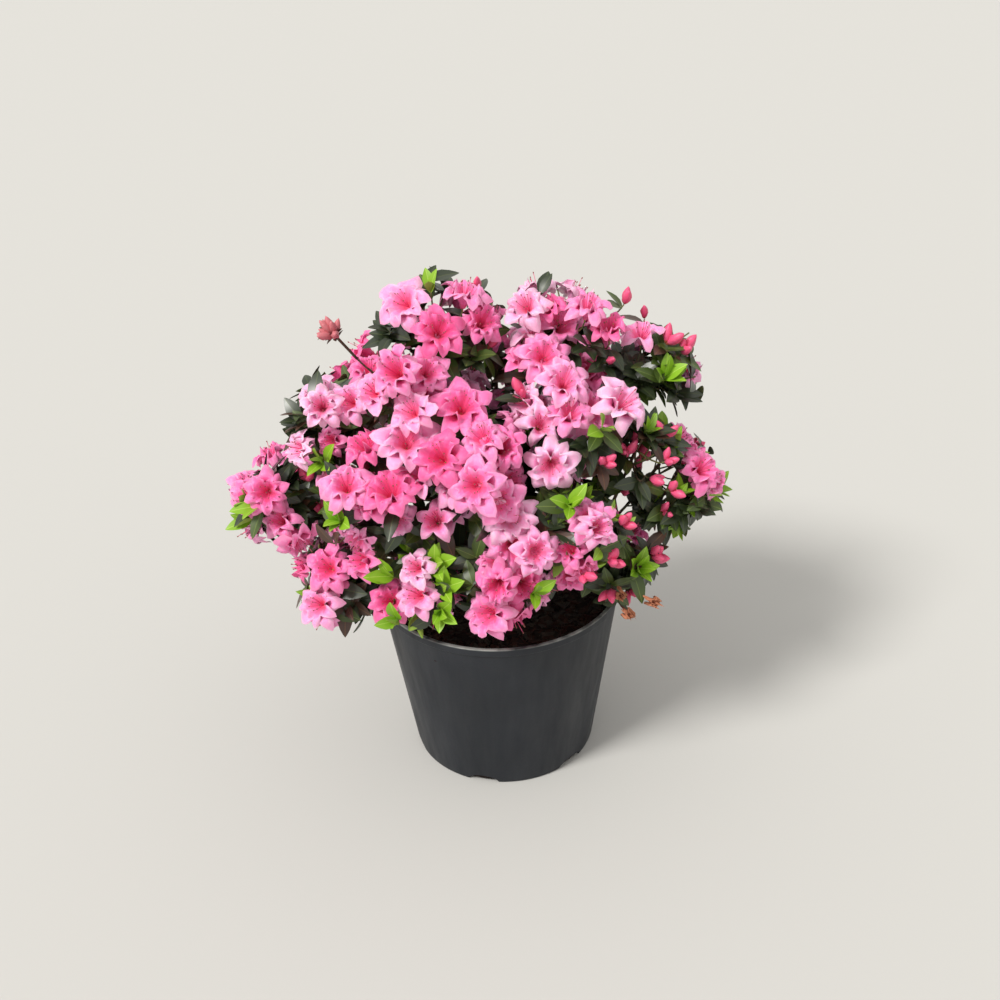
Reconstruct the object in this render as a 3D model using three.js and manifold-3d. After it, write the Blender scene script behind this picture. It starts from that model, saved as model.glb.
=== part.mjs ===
// A flowering azalea in its nursery pot: one short stem, its boughs and side limbs, and the sprays
// they carry.
// Millimetres, +Z up, with the origin in the middle of the pot's flat underside. The plant's front is at -Y.
import * as THREE from 'three';
import { mergeVertices } from 'three/addons/utils/BufferGeometryUtils.js';
import Module from 'manifold-3d';

const wasm = await Module();
wasm.setup();

// The pot
const POT_HEIGHT = 216;
const RIM_RADIUS = 140;
const FOOT_RADIUS = 107;
const FOOT_SWELL = 0.2;
const WALL = 2.4;
const FLOOR = 3.2;
const LIP_HEIGHT = 9;
const LIP_PROUD = 2.6;
const LIP_ROUND = 1.4;
const POT_SIDES = 32;
const DRAIN_COUNT = 6;
const DRAIN_WIDTH = 36;
const DRAIN_HEIGHT = 10;
const DRAIN_DEPTH = 14;
const DRAIN_FIRST_BEARING = -105;
const DRAIN_ARC_STEPS = 4;

// The bark mix that fills it
const MIX_TOP = 192;
const MIX_EDGE_DROP = 7;
const MIX_SHOULDER_DROP = 1.5;
const MIX_FLAT_RADIUS = 34;

// The clearance kept between neighbouring solids
const GAP = 0.3;
const CUT_GAP = 0.42;

// The main stem
const STEM_FLARE_RADIUS = 19;
const STEM_RADIUS = 11.5;
const STEM_TOP = 238;
const STEM_LEAN = new THREE.Vector3(4, 3, 0);
const STEM_SIDES = 9;
const STEM_STEPS = 4;
const FLARE_POWER = 3.2;

// Boughs and side limbs
const LIMB_SIDES = 5;
const LIMB_STEPS = 4;
const LIMB_TAPER = 0.52;
const LIMB_END = 0.66;
const LIMB_START_PULL = 0.36;
const LIMB_END_PULL = 0.34;
const LIMB_UPTURN = 0.3;
const LEADER_OFFSET = 5.6;
const BOUGH_SLOPE = 0.6;
const SIDE_LIMB_FOLLOW = 0.45;

// The spaces of the sprays, as a part of the way from each to its neighbour
const CROWN_HEART = new THREE.Vector3(-5, 10, 290);
const CELL_MARGIN = 0.45;

// The stem and twigs of a spray
const SPRAY_STEM_TIP_RADIUS = 2.2;
const SPRAY_STEM_SIDES = 4;
const SPRAY_STEM_STEPS = 2;
const SPRAY_STEM_BEND = 0.5;
const SPRAY_STEM_EASE = 0.4;
const STEM_PAST_MIDDLE = 12;
const TWIG_DIRECTIONS = 9;
const TWIG_INWARD_LIMIT = -0.3;
const TWIG_BACK_LIMIT = 0.72;
const TWIG_ROOM = 26;
const BLOSSOM_ROOM = 34;
const TWIG_SHORTEST = 12;
const TWIG_LEAST_REACH = 0.85;
const TWIG_RADIUS = 1;
const TWIG_SIDES = 3;
const FIRST_TWIG = 0.15;
const SHOOT_UPTURN = 0.5;
const SHOOT_OUTWARD = 0.35;
const GOLDEN_ANGLE = 2.399963;

// Leaves
const WHORL_LEAVES = 3;
const TRUSS_LEAVES = 1;
const WHORL_TURN = 0.8;
const WHORL_DROP = 5;
const WHORL_STEP = 4;
const LEAF_LENGTH = 48;
const LEAF_LENGTH_VARIES = 0.15;
const LEAF_WIDTH = 0.46;
const LEAF_THICK = 1.5;
const LEAF_WIDEST = 0.56;
const LEAF_THICKEST = 0.34;
const LEAF_TIP_DIP = 0.07;
const LEAF_TILT = 1.15;
const TRUSS_LEAF_TILT = 1.7;
const LEAF_TILT_VARIES = 0.15;
const LEAF_ROOT_SINK = 0.3;

// Blossom, buds and new leaves
const BLOSSOM_RADIUS = 31;
const BLOSSOM_RADIUS_VARIES = 0.1;
const BLOSSOM_DEPTH = 27;
const BLOSSOM_THROAT = 0.3;
const BLOSSOM_NOTCH = 0.7;
const BLOSSOM_RECURVE = 0.16;
const BLOSSOM_LOBES = 5;
const BLOSSOM_SINK = 0.8;
const BLOSSOM_TILT = 0.35;
const BLOSSOM_TILT_VARIES = 0.5;
const BLOSSOM_SLIDE = 5;
const SMALL_COUNT = 2;
const SMALL_TILT_VARIES = 0.3;
const NEW_LEAF_LENGTH = 33;
const NEW_LEAF_TILT = 0.55;
const BUD_LENGTH = 21;
const BUD_WIDTH = 8.5;
const BUD_TILT = 0.42;
const SPRIG_BUDS = 5;
const SPRIG_TWIG_FOOT = 0.6;

// How far the pieces of a spray keep off each other, and the tries that a piece has at a place
const BLOSSOM_CLEARANCE = 2;
const LEAF_CLEARANCE = 6;
const TWIG_CLEARANCE = 5;
const WOOD_CLEARANCE = 0.8;
const POT_CLEARANCE = 2;
const SAME_SHOOT_EASE = 0.4;
const ROOT_ZONE = 8;
const SAMPLE_INSET = 0.3;
const PLACE_ATTEMPTS = 5;
const ATTEMPT_TURN = 0.8;
const ATTEMPT_LIFT = 0.12;
const ATTEMPT_SHRINK = 0.05;

// The seeded run of numbers
const SEED_STEP = 7919;
const SEED_START = 104729;
const RUN_MULTIPLIER = 1664525;
const RUN_INCREMENT = 1013904223;
const RUN_RANGE = 4294967296;

const WELD_DISTANCE = 1e-4;
const NEARLY_UPRIGHT = 0.9;
const NEARLY_NOTHING = 0.1;
const MOSTLY_BLOSSOM = 0.45;
const UP = new THREE.Vector3(0, 0, 1);

// Boughs leave the main stem at a height; side limbs leave a bough part of the way along it.
// Each row gives the middle of the spray that the limb carries, the spray's radius, the thickness at the
// limb's foot, and the share of the shoots that end in open blossom or in buds.
const limbs = [
  { name: 'left', height: 209, at: [-235, -30, 345],
    spread: 76, thick: 5.4, bloom: 0.6, bud: 0.08 },
  { name: 'front_left', height: 225, at: [-122, -88, 372],
    spread: 74, thick: 4.8, bloom: 0.8, bud: 0.05 },
  { name: 'front', height: 210, at: [-20, -82, 402],
    spread: 80, thick: 5, bloom: 0.95, bud: 0 },
  { name: 'front_right', height: 226, at: [76, -104, 346],
    spread: 68, thick: 4.6, bloom: 0.5, bud: 0.15 },
  { name: 'right', height: 209, at: [198, -25, 338],
    spread: 66, thick: 5.2, bloom: 0.45, bud: 0.3 },
  { name: 'back', height: 211, at: [5, 112, 452],
    spread: 84, thick: 5.2, bloom: 0.6, bud: 0.1 },
  { name: 'back_left', height: 226, at: [-122, 98, 412],
    spread: 80, thick: 5, bloom: 0.6, bud: 0.1 },
  { name: 'top_left', leader: -1, at: [-58, 26, 500],
    spread: 84, thick: 5, bloom: 0.75, bud: 0.05 },
  { name: 'top_right', leader: 1, at: [76, 36, 494],
    spread: 84, thick: 5, bloom: 0.75, bud: 0.1 },
  { name: 'left_shoulder', from: 'left', share: 0.5, at: [-160, -22, 430],
    spread: 74, thick: 3.6, bloom: 0.6, bud: 0.1 },
  { name: 'lower_left', from: 'left', share: 0.34, at: [-176, -66, 268],
    spread: 66, thick: 3.2, bloom: 0.6, bud: 0.05 },
  { name: 'low_left', from: 'front_left', share: 0.36, at: [-82, -102, 284],
    spread: 64, thick: 3, bloom: 0.45, bud: 0.1 },
  { name: 'low_centre', from: 'front', share: 0.3, at: [4, -112, 292],
    spread: 66, thick: 3, bloom: 0.7, bud: 0 },
  { name: 'lower_right', from: 'front_right', share: 0.38, at: [130, -62, 276],
    spread: 62, thick: 3, bloom: 0.35, bud: 0.4 },
  { name: 'right_middle', from: 'right', share: 0.5, at: [146, -44, 392],
    spread: 66, thick: 3.4, bloom: 0.2, bud: 0.4 },
  { name: 'back_right', from: 'right', share: 0.32, at: [186, 80, 304],
    spread: 74, thick: 3.2, bloom: 0.55, bud: 0.15 },
  { name: 'upper_left', from: 'top_left', share: 0.62, at: [-78, -48, 470],
    spread: 68, thick: 3.2, bloom: 0.85, bud: 0 },
  { name: 'upper_right', from: 'top_right', share: 0.5, at: [74, -52, 430],
    spread: 74, thick: 3.4, bloom: 0.85, bud: 0.05 },
  { name: 'right_shoulder', from: 'top_right', share: 0.58, at: [162, 32, 446],
    spread: 74, thick: 3.4, bloom: 0.4, bud: 0.25 },
  { name: 'back_upper_right', from: 'back', share: 0.5, at: [120, 114, 398],
    spread: 78, thick: 3.4, bloom: 0.55, bud: 0.1 },
  { name: 'back_low_right', from: 'back', share: 0.3, at: [72, 166, 312],
    spread: 78, thick: 3.2, bloom: 0.5, bud: 0.1 },
  { name: 'back_low_left', from: 'back_left', share: 0.32, at: [-82, 162, 318],
    spread: 80, thick: 3.2, bloom: 0.55, bud: 0.1 },
  { name: 'far_left_back', from: 'back_left', share: 0.5, at: [-192, 76, 322],
    spread: 78, thick: 3.4, bloom: 0.5, bud: 0.1 },
  { name: 'bare_sprig', from: 'top_left', share: 0.8, at: [-154, -10, 522],
    spread: 40, thick: 1.9, bloom: 0, bud: 1 },
];

const materials = {
  pot_plastic: { color: 0x23272e, roughness: 0.55, metalness: 0 },
  bark_mix: { color: 0x2c1d16, roughness: 0.95, metalness: 0 },
  bark: { color: 0x5a4636, roughness: 0.85, metalness: 0 },
  blossom: { color: 0xf0609c, roughness: 0.6, metalness: 0 },
  foliage: { color: 0x3d5a2c, roughness: 0.6, metalness: 0 },
};

const azalea = new THREE.Group();

// A run of numbers from 0 to 1 that is the same each time for the same seed.
function seededNumbers(seed) {
  let state = (seed * SEED_STEP + SEED_START) % RUN_RANGE;
  return function next() {
    state = (state * RUN_MULTIPLIER + RUN_INCREMENT) % RUN_RANGE;
    return state / RUN_RANGE;
  };
}

// A factor round 1 that varies by up to a share of it either way.
function varied(next, share) {
  return 1 - share + 2 * share * next();
}

// A closed mesh as a solid that can be joined and cut.
function toSolid(geometry) {
  const bare = geometry.index ? geometry.clone() : geometry;
  bare.deleteAttribute('normal');
  bare.deleteAttribute('uv');
  const welded = mergeVertices(bare, WELD_DISTANCE);
  const vertProperties = new Float32Array(welded.attributes.position.array);
  const triVerts = new Uint32Array(welded.index.array);
  return new wasm.Manifold(new wasm.Mesh({ numProp: 3, vertProperties, triVerts }));
}

function toGeometry(solid) {
  const mesh = solid.getMesh();
  const geometry = new THREE.BufferGeometry();
  geometry.setAttribute('position', new THREE.BufferAttribute(new Float32Array(mesh.vertProperties), 3));
  geometry.setIndex(new THREE.BufferAttribute(new Uint32Array(mesh.triVerts), 1));
  geometry.computeVertexNormals();
  return geometry;
}

function largestPiece(solid) {
  const pieces = solid.decompose();
  return pieces.reduce((best, piece) => (piece.volume() > best.volume() ? piece : best));
}

function addNode(name, solid, materialName) {
  const mesh = new THREE.Mesh(toGeometry(solid), new THREE.MeshStandardMaterial(materials[materialName]));
  mesh.name = name;
  azalea.add(mesh);
}

// A profile of [radius, height] pairs, turned round the upright axis.
function turned(profile, sides) {
  const points = profile.map(([radius, height]) => new THREE.Vector2(radius, height));
  const geometry = new THREE.LatheGeometry(points, sides);
  geometry.rotateX(Math.PI / 2);
  return toSolid(geometry);
}

function wallRadius(height) {
  const share = height / (POT_HEIGHT - LIP_HEIGHT);
  return FOOT_RADIUS + (RIM_RADIUS - LIP_PROUD - FOOT_RADIUS) * share;
}

function innerRadius(height) {
  return wallRadius(height) - WALL;
}

// The pot is one thin tapering wall with a proud lip, and a flat floor.
function potBody() {
  const lipFoot = POT_HEIGHT - LIP_HEIGHT;
  return turned(
    [
      [0, 0],
      [FOOT_RADIUS - LIP_ROUND, 0],
      [FOOT_RADIUS + FOOT_SWELL, LIP_ROUND],
      [wallRadius(lipFoot), lipFoot],
      [RIM_RADIUS, lipFoot + LIP_ROUND],
      [RIM_RADIUS, POT_HEIGHT - LIP_ROUND],
      [RIM_RADIUS - LIP_ROUND, POT_HEIGHT],
      [innerRadius(lipFoot) + LIP_ROUND, POT_HEIGHT],
      [innerRadius(lipFoot), lipFoot],
      [innerRadius(FLOOR), FLOOR],
      [0, FLOOR],
    ],
    POT_SIDES,
  );
}

// An arched opening through the foot of the wall.
function drainCutter(bearing) {
  const arch = new THREE.Shape();
  const half = DRAIN_WIDTH / 2;
  arch.moveTo(-half, -GAP);
  arch.lineTo(half, -GAP);
  for (let i = 0; i <= DRAIN_ARC_STEPS; i++) {
    const angle = (Math.PI * i) / DRAIN_ARC_STEPS;
    arch.lineTo(half * Math.cos(angle), DRAIN_HEIGHT * Math.sin(angle));
  }
  const geometry = new THREE.ExtrudeGeometry(arch, { depth: 2 * DRAIN_DEPTH, bevelEnabled: false });
  geometry.rotateX(Math.PI / 2);
  geometry.rotateZ(Math.PI);
  geometry.translate(0, FOOT_RADIUS - DRAIN_DEPTH, 0);
  geometry.rotateZ(THREE.MathUtils.degToRad(bearing - 90));
  return toSolid(geometry);
}

function addPot() {
  let pot = potBody();
  for (let i = 0; i < DRAIN_COUNT; i++) {
    pot = pot.subtract(drainCutter(DRAIN_FIRST_BEARING + (360 / DRAIN_COUNT) * i));
  }
  addNode('pot', pot, 'pot_plastic');
}

// The mix fills the pot, flat round the stem and a little lower at the wall.
function addMix() {
  const foot = FLOOR + GAP;
  const edge = MIX_TOP - MIX_EDGE_DROP;
  const mix = turned(
    [
      [0, foot],
      [innerRadius(foot) - GAP, foot],
      [innerRadius(edge) - GAP, edge],
      [(MIX_FLAT_RADIUS + innerRadius(edge)) / 2, MIX_TOP - MIX_SHOULDER_DROP],
      [MIX_FLAT_RADIUS, MIX_TOP],
      [0, MIX_TOP],
    ],
    POT_SIDES,
  );
  addNode('potting_mix', mix, 'bark_mix');
}

// Turns a geometry's faces round where they point inwards.
function outward(geometry) {
  const solid = toSolid(geometry);
  if (solid.volume() > 0) {
    return solid;
  }
  const index = geometry.index.array;
  for (let i = 0; i < index.length; i += 3) {
    [index[i], index[i + 1]] = [index[i + 1], index[i]];
  }
  return toSolid(geometry);
}

// A tapering tube with closed ends whose middle follows a curve.
function bentTube(curve, radiusAt, sides, steps) {
  const tube = new THREE.CylinderGeometry(1, 1, 1, sides, steps);
  const chord = curve.getPoint(1).sub(curve.getPoint(0));
  const level = new THREE.Vector3(-chord.y, chord.x, 0);
  if (level.length() < NEARLY_NOTHING * chord.length()) {
    level.set(0, 1, 0);
  }
  const place = tube.attributes.position;
  const local = new THREE.Vector3();
  for (let i = 0; i < place.count; i++) {
    local.fromBufferAttribute(place, i);
    const t = THREE.MathUtils.clamp(local.y + 0.5, 0, 1);
    const along = curve.getTangent(t);
    const side = level.clone().addScaledVector(along, -level.dot(along)).normalize();
    const other = new THREE.Vector3().crossVectors(along, side);
    const spot = curve.getPoint(t);
    spot.addScaledVector(side, local.x * radiusAt(t));
    spot.addScaledVector(other, local.z * radiusAt(t));
    place.setXYZ(i, spot.x, spot.y, spot.z);
  }
  return outward(tube);
}

function stemCurve() {
  const foot = new THREE.Vector3(0, 0, MIX_TOP + GAP);
  const top = new THREE.Vector3(0, 0, STEM_TOP).add(STEM_LEAN);
  const rise = (STEM_TOP - MIX_TOP) / 3;
  return new THREE.CubicBezierCurve3(
    foot,
    foot.clone().addScaledVector(UP, rise),
    top.clone().addScaledVector(UP, -rise),
    top,
  );
}

function stemRadius(t) {
  return STEM_RADIUS + (STEM_FLARE_RADIUS - STEM_RADIUS) * Math.pow(1 - t, FLARE_POWER);
}

function stemTube(extra) {
  return bentTube(stemCurve(), (t) => stemRadius(t) + extra, STEM_SIDES, STEM_STEPS);
}

function limbRadius(limb, t) {
  return limb.thick * (1 - LIMB_TAPER * t);
}

function limbTube(limb, extra) {
  return bentTube(limb.curve, (t) => limbRadius(limb, t) + extra, LIMB_SIDES, LIMB_STEPS);
}

function carrierOf(limb) {
  return limbs.find((other) => other.name === limb.from);
}

// Where a limb starts: its point on what carries it, and the direction that its carrier has there.
function limbStart(limb) {
  if (limb.leader) {
    const top = stemCurve().getPoint(1);
    top.x += limb.leader * LEADER_OFFSET;
    top.z += GAP;
    return { point: top, along: UP.clone() };
  }
  if (limb.from) {
    const carrier = carrierOf(limb);
    return { point: carrier.curve.getPoint(limb.share), along: carrier.curve.getTangent(limb.share) };
  }
  const share = (limb.height - MIX_TOP) / (STEM_TOP - MIX_TOP);
  return { point: stemCurve().getPoint(share), along: UP.clone() };
}

// A leader goes straight up, a bough leaves the stem at an even slope, and a side limb turns to its spray.
function leavingDirection(limb, along, toSpray) {
  if (limb.leader) {
    return UP.clone();
  }
  if (limb.from) {
    return along.clone().multiplyScalar(SIDE_LIMB_FOLLOW).add(toSpray).normalize();
  }
  const level = new THREE.Vector3(toSpray.x, toSpray.y, 0).normalize();
  return level.addScaledVector(UP, BOUGH_SLOPE).normalize();
}

// A limb leans out of its carrier towards its spray and ends a little inside the spray's space.
function limbCurve(limb) {
  const start = limbStart(limb);
  const toSpray = limb.centre.clone().sub(start.point).normalize();
  const approach = toSpray.clone().addScaledVector(UP, LIMB_UPTURN).normalize();
  const tip = limb.centre.clone().addScaledVector(approach, -LIMB_END * limb.spread);
  const leaving = leavingDirection(limb, start.along, toSpray);
  const length = tip.distanceTo(start.point);
  return new THREE.CubicBezierCurve3(
    start.point,
    start.point.clone().addScaledVector(leaving, LIMB_START_PULL * length),
    tip.clone().addScaledVector(approach, -LIMB_END_PULL * length),
    tip,
  );
}

// A limb's foot is cut to the face of what carries it, so that the two meet at an even gap.
function addLimb(limb) {
  let solid = limbTube(limb, 0);
  if (!limb.leader) {
    const sleeve = limb.from ? limbTube(carrierOf(limb), CUT_GAP) : stemTube(CUT_GAP);
    solid = largestPiece(solid.subtract(sleeve));
  }
  addNode(`${limb.from ? 'limb' : 'bough'}_${limb.name}`, solid, 'bark');
}

// All the wood at once, a little thicker, for keeping twigs and leaves clear of it.
function allWood() {
  return limbs.reduce((wood, limb) => wood.add(limbTube(limb, WOOD_CLEARANCE)), stemTube(WOOD_CLEARANCE));
}

// A spray's space is the ball round its middle, cut off part of the way to each neighbour's.
function inSpace(point, limb) {
  const own = point.distanceToSquared(limb.centre) - limb.spread ** 2;
  if (own > 0) {
    return false;
  }
  return limbs.every((other) => {
    if (other === limb) {
      return true;
    }
    const theirs = point.distanceToSquared(other.centre) - other.spread ** 2;
    return theirs - own > 2 * CELL_MARGIN * limb.centre.distanceTo(other.centre);
  });
}

// How far a line from the spray's middle runs before it leaves the spray's space.
function roomAlong(limb, direction) {
  let room = limb.spread;
  for (const other of limbs) {
    const apart = other.centre.clone().sub(limb.centre);
    const distance = apart.length();
    const wall = (distance ** 2 + limb.spread ** 2 - other.spread ** 2) / (2 * distance);
    const toward = direction.dot(apart) / distance;
    if (other !== limb && toward > 0) {
      room = Math.min(room, wall / toward);
    }
  }
  return room;
}

// Clear of the pot means all above the rim, or all within the wall above the mix, or all outside the wall.
function clearOfPot(points) {
  const nearWall = innerRadius(MIX_TOP) - POT_CLEARANCE;
  const aboveRim = ({ z }) => z > POT_HEIGHT + POT_CLEARANCE;
  const withinWall = ({ x, y, z }) => z > MIX_TOP + POT_CLEARANCE && Math.hypot(x, y) < nearWall;
  const outsideWall = ({ x, y }) => Math.hypot(x, y) > RIM_RADIUS + 2 * POT_CLEARANCE;
  return points.every(aboveRim) || points.every(withinWall) || points.every(outsideWall);
}

function clearOfWood(solid) {
  return solid.intersect(wood).isEmpty();
}

function cornersOf(geometry) {
  const place = geometry.attributes.position;
  const corners = [];
  for (let i = 0; i < place.count; i++) {
    corners.push(new THREE.Vector3().fromBufferAttribute(place, i));
  }
  return corners;
}

function fits(geometry, limb) {
  const corners = cornersOf(geometry);
  const inside = corners.every((corner) => inSpace(corner, limb));
  return inside && clearOfPot(corners) && clearOfWood(toSolid(geometry));
}

// A leaf is an eight-faced blade, thickest near its root and widest past its middle.
function leafGeometry(length) {
  const leaf = new THREE.OctahedronGeometry(1);
  const place = leaf.attributes.position;
  for (let i = 0; i < place.count; i++) {
    const x = place.getX(i);
    const y = place.getY(i);
    const z = place.getZ(i);
    const isTip = x > 0.5;
    let along = isTip ? length : -LEAF_ROOT_SINK;
    if (Math.abs(y) > 0.5) {
      along = LEAF_WIDEST * length;
    } else if (Math.abs(z) > 0.5) {
      along = LEAF_THICKEST * length;
    }
    const dip = isTip ? LEAF_TIP_DIP * length : 0;
    place.setXYZ(i, along, (y * LEAF_WIDTH * length) / 2, (z * LEAF_THICK) / 2 - dip);
  }
  return leaf;
}

// A bud is the same eight faces made fat.
function budGeometry(length) {
  const bud = new THREE.OctahedronGeometry(1);
  bud.scale(length / 2, BUD_WIDTH / 2, BUD_WIDTH / 2);
  bud.translate(length / 2 - LEAF_ROOT_SINK, 0, 0);
  return bud;
}

// A blossom is a wide funnel of five lobes, with x along its middle and every second corner in a notch.
function blossomGeometry(radius) {
  const corners = 2 * BLOSSOM_LOBES;
  const cone = new THREE.ConeGeometry(1, 1, corners);
  const place = cone.attributes.position;
  for (let i = 0; i < place.count; i++) {
    const x = place.getX(i);
    const z = place.getZ(i);
    const turn = Math.atan2(z, x);
    let forward = place.getY(i) > 0 ? 0 : BLOSSOM_DEPTH * BLOSSOM_THROAT;
    let reach = 0;
    if (Math.hypot(x, z) > 0.5) {
      const step = Math.round((turn / (2 * Math.PI)) * corners);
      const isNotch = (step + corners) % 2 === 0;
      reach = radius * (isNotch ? BLOSSOM_NOTCH : 1);
      forward = BLOSSOM_DEPTH * (isNotch ? 1 : 1 - BLOSSOM_RECURVE);
    }
    place.setXYZ(i, forward - BLOSSOM_SINK, reach * Math.cos(turn), reach * Math.sin(turn));
  }
  return cone;
}

// A frame with x along the given direction and z as near the given top side as it can be.
function facing(root, along, top) {
  const x = along.clone().normalize();
  const z = top.clone().addScaledVector(x, -top.dot(x)).normalize();
  const y = new THREE.Vector3().crossVectors(z, x);
  return new THREE.Matrix4().makeBasis(x, y, z).setPosition(root);
}

// A direction tilted away from an axis, at a turn round it.
function tilted(axis, tilt, turn) {
  const level = Math.abs(axis.z) > NEARLY_UPRIGHT ? new THREE.Vector3(1, 0, 0) : UP;
  const side = new THREE.Vector3().crossVectors(axis, level).normalize();
  const other = new THREE.Vector3().crossVectors(axis, side);
  return axis
    .clone()
    .multiplyScalar(Math.cos(tilt))
    .addScaledVector(side, Math.sin(tilt) * Math.cos(turn))
    .addScaledVector(other, Math.sin(tilt) * Math.sin(turn));
}

// The spray's own stem goes on from the limb's tip to a little past the middle of the spray.
function sprayStemCurve(limb) {
  const along = limb.curve.getTangent(1);
  const foot = limb.curve.getPoint(1).addScaledVector(along, GAP);
  const bend = foot.clone().addScaledVector(along, SPRAY_STEM_BEND * foot.distanceTo(limb.centre));
  const onwards = limb.centre.clone().sub(foot).normalize();
  const end = limb.centre.clone().addScaledVector(onwards, STEM_PAST_MIDDLE);
  return new THREE.CubicBezierCurve3(foot, bend, end.clone().lerp(bend, SPRAY_STEM_EASE), end);
}

// A twig is a straight rod with a few sides.
function twig({ foot, tip }) {
  const corners = [];
  for (let i = 0; i < TWIG_SIDES; i++) {
    const turn = (i * 2 * Math.PI) / TWIG_SIDES;
    corners.push(new THREE.Vector2(TWIG_RADIUS * Math.cos(turn), TWIG_RADIUS * Math.sin(turn)));
  }
  const depth = foot.distanceTo(tip);
  const rod = new THREE.ExtrudeGeometry(new THREE.Shape(corners), { depth, bevelEnabled: false });
  const along = tip.clone().sub(foot).normalize();
  rod.applyQuaternion(new THREE.Quaternion().setFromUnitVectors(UP, along));
  rod.translate(foot.x, foot.y, foot.z);
  return toSolid(rod);
}

// A sprig with nothing but buds is a bare stem with one tuft of them at its end.
function isBareSprig(limb) {
  return limb.bud === 1;
}

function sprigShoot(limb) {
  const stem = sprayStemCurve(limb);
  return { foot: stem.getPoint(SPRIG_TWIG_FOOT), tip: stem.getPoint(1), axis: stem.getTangent(1), kind: 0 };
}

// Shoots aim evenly all round, and those that point back into the bush or down the limb are left out.
function growShoots(limb, next) {
  const outwards = limb.centre.clone().sub(CROWN_HEART).normalize();
  const back = limb.curve.getTangent(1).negate();
  const phase = next() * 2 * Math.PI;
  const stem = sprayStemCurve(limb);
  const shoots = [];
  for (let i = 0; i < TWIG_DIRECTIONS; i++) {
    const level = 1 - (2 * i + 1) / TWIG_DIRECTIONS;
    const ring = Math.sqrt(1 - level ** 2);
    const turn = phase + i * GOLDEN_ANGLE;
    const aim = new THREE.Vector3(ring * Math.cos(turn), ring * Math.sin(turn), level);
    const foot = stem.getPoint(FIRST_TWIG + ((1 - FIRST_TWIG) * (i + 0.5)) / TWIG_DIRECTIONS);
    const kind = next();
    const reach = TWIG_LEAST_REACH + (1 - TWIG_LEAST_REACH) * next();
    const room = roomAlong(limb, aim) - (kind < limb.bloom ? BLOSSOM_ROOM : TWIG_ROOM);
    const tip = limb.centre.clone().addScaledVector(aim, room * reach);
    const axis = tip.clone().sub(foot).normalize();
    axis.addScaledVector(UP, SHOOT_UPTURN).addScaledVector(outwards, SHOOT_OUTWARD).normalize();
    const shoot = { foot, tip, axis, kind };
    const aimed = aim.dot(outwards) > TWIG_INWARD_LIMIT && aim.dot(back) < TWIG_BACK_LIMIT;
    const within = room > TWIG_SHORTEST && inSpace(foot, limb) && inSpace(tip, limb);
    if (aimed && within && clearOfWood(twig(shoot))) {
      shoots.push(shoot);
    }
  }
  return shoots;
}

// What a shoot ends in: one open blossom, or a few buds or bright new leaves.
function tipPieces(shoot, limb, firstTurn, next) {
  if (shoot.kind < limb.bloom) {
    const tilt = BLOSSOM_TILT * varied(next, BLOSSOM_TILT_VARIES);
    const shape = blossomGeometry(BLOSSOM_RADIUS * varied(next, BLOSSOM_RADIUS_VARIES));
    const slide = BLOSSOM_SLIDE;
    return [{ shoot, order: 0, drop: 0, slide, tilt, turn: firstTurn, room: BLOSSOM_CLEARANCE, shape }];
  }
  const isBud = shoot.kind < limb.bloom + limb.bud;
  const count = isBareSprig(limb) ? SPRIG_BUDS : SMALL_COUNT;
  const pieces = [];
  for (let i = 0; i < count; i++) {
    const turn = firstTurn + i * GOLDEN_ANGLE;
    const tilt = (isBud ? BUD_TILT : NEW_LEAF_TILT) * varied(next, SMALL_TILT_VARIES);
    const length = (isBud ? BUD_LENGTH : NEW_LEAF_LENGTH) * varied(next, LEAF_LENGTH_VARIES);
    const shape = isBud ? budGeometry(length) : leafGeometry(length);
    pieces.push({ shoot, order: 1, drop: 0, slide: 0, tilt, turn, room: LEAF_CLEARANCE, shape });
  }
  return pieces;
}

// Old leaves stand in a whorl a little below the shoot's tip.
function whorlPieces(shoot, limb, firstTurn, next) {
  const isBlossom = shoot.kind < limb.bloom;
  const count = isBlossom ? TRUSS_LEAVES : WHORL_LEAVES;
  const pieces = [];
  for (let i = 0; i < count; i++) {
    const turn = firstTurn + WHORL_TURN + i * GOLDEN_ANGLE;
    const tilt = (isBlossom ? TRUSS_LEAF_TILT : LEAF_TILT) + LEAF_TILT_VARIES * (2 * next() - 1);
    const shape = leafGeometry(LEAF_LENGTH * varied(next, LEAF_LENGTH_VARIES));
    const drop = WHORL_DROP + WHORL_STEP * i;
    pieces.push({ shoot, order: 2, drop, slide: 0, tilt, turn, room: LEAF_CLEARANCE, shape });
  }
  return pieces;
}

function endPieces(shoot, limb, next) {
  const firstTurn = next() * 2 * Math.PI;
  const atTip = tipPieces(shoot, limb, firstTurn, next);
  return isBareSprig(limb) ? atTip : [...atTip, ...whorlPieces(shoot, limb, firstTurn, next)];
}

function belowTip({ foot, tip }, drop) {
  return tip.clone().lerp(foot, drop / tip.distanceTo(foot));
}

// Points spread over a piece away from its root, for keeping pieces off each other.
function samplesOf(shape, root) {
  const samples = [];
  for (const corner of cornersOf(shape)) {
    if (corner.distanceTo(root) > ROOT_ZONE) {
      samples.push(corner, corner.clone().lerp(root, SAMPLE_INSET));
    }
  }
  return samples;
}

function clearOfPieces(samples, { room, shoot }, taken) {
  return taken.every((other) => {
    const apart = (room + other.room) * (other.shoot === shoot ? SAME_SHOOT_EASE : 1);
    return other.samples.every((theirs) => samples.every((own) => own.distanceTo(theirs) > apart));
  });
}

function clearOfTwigs(samples, shoot, shoots) {
  const nearest = new THREE.Vector3();
  return shoots.every((other) => {
    const line = new THREE.Line3(other.foot, other.tip);
    const isFar = (own) => line.closestPointToPoint(own, true, nearest).distanceTo(own) > TWIG_CLEARANCE;
    return other === shoot || samples.every(isFar);
  });
}

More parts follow.
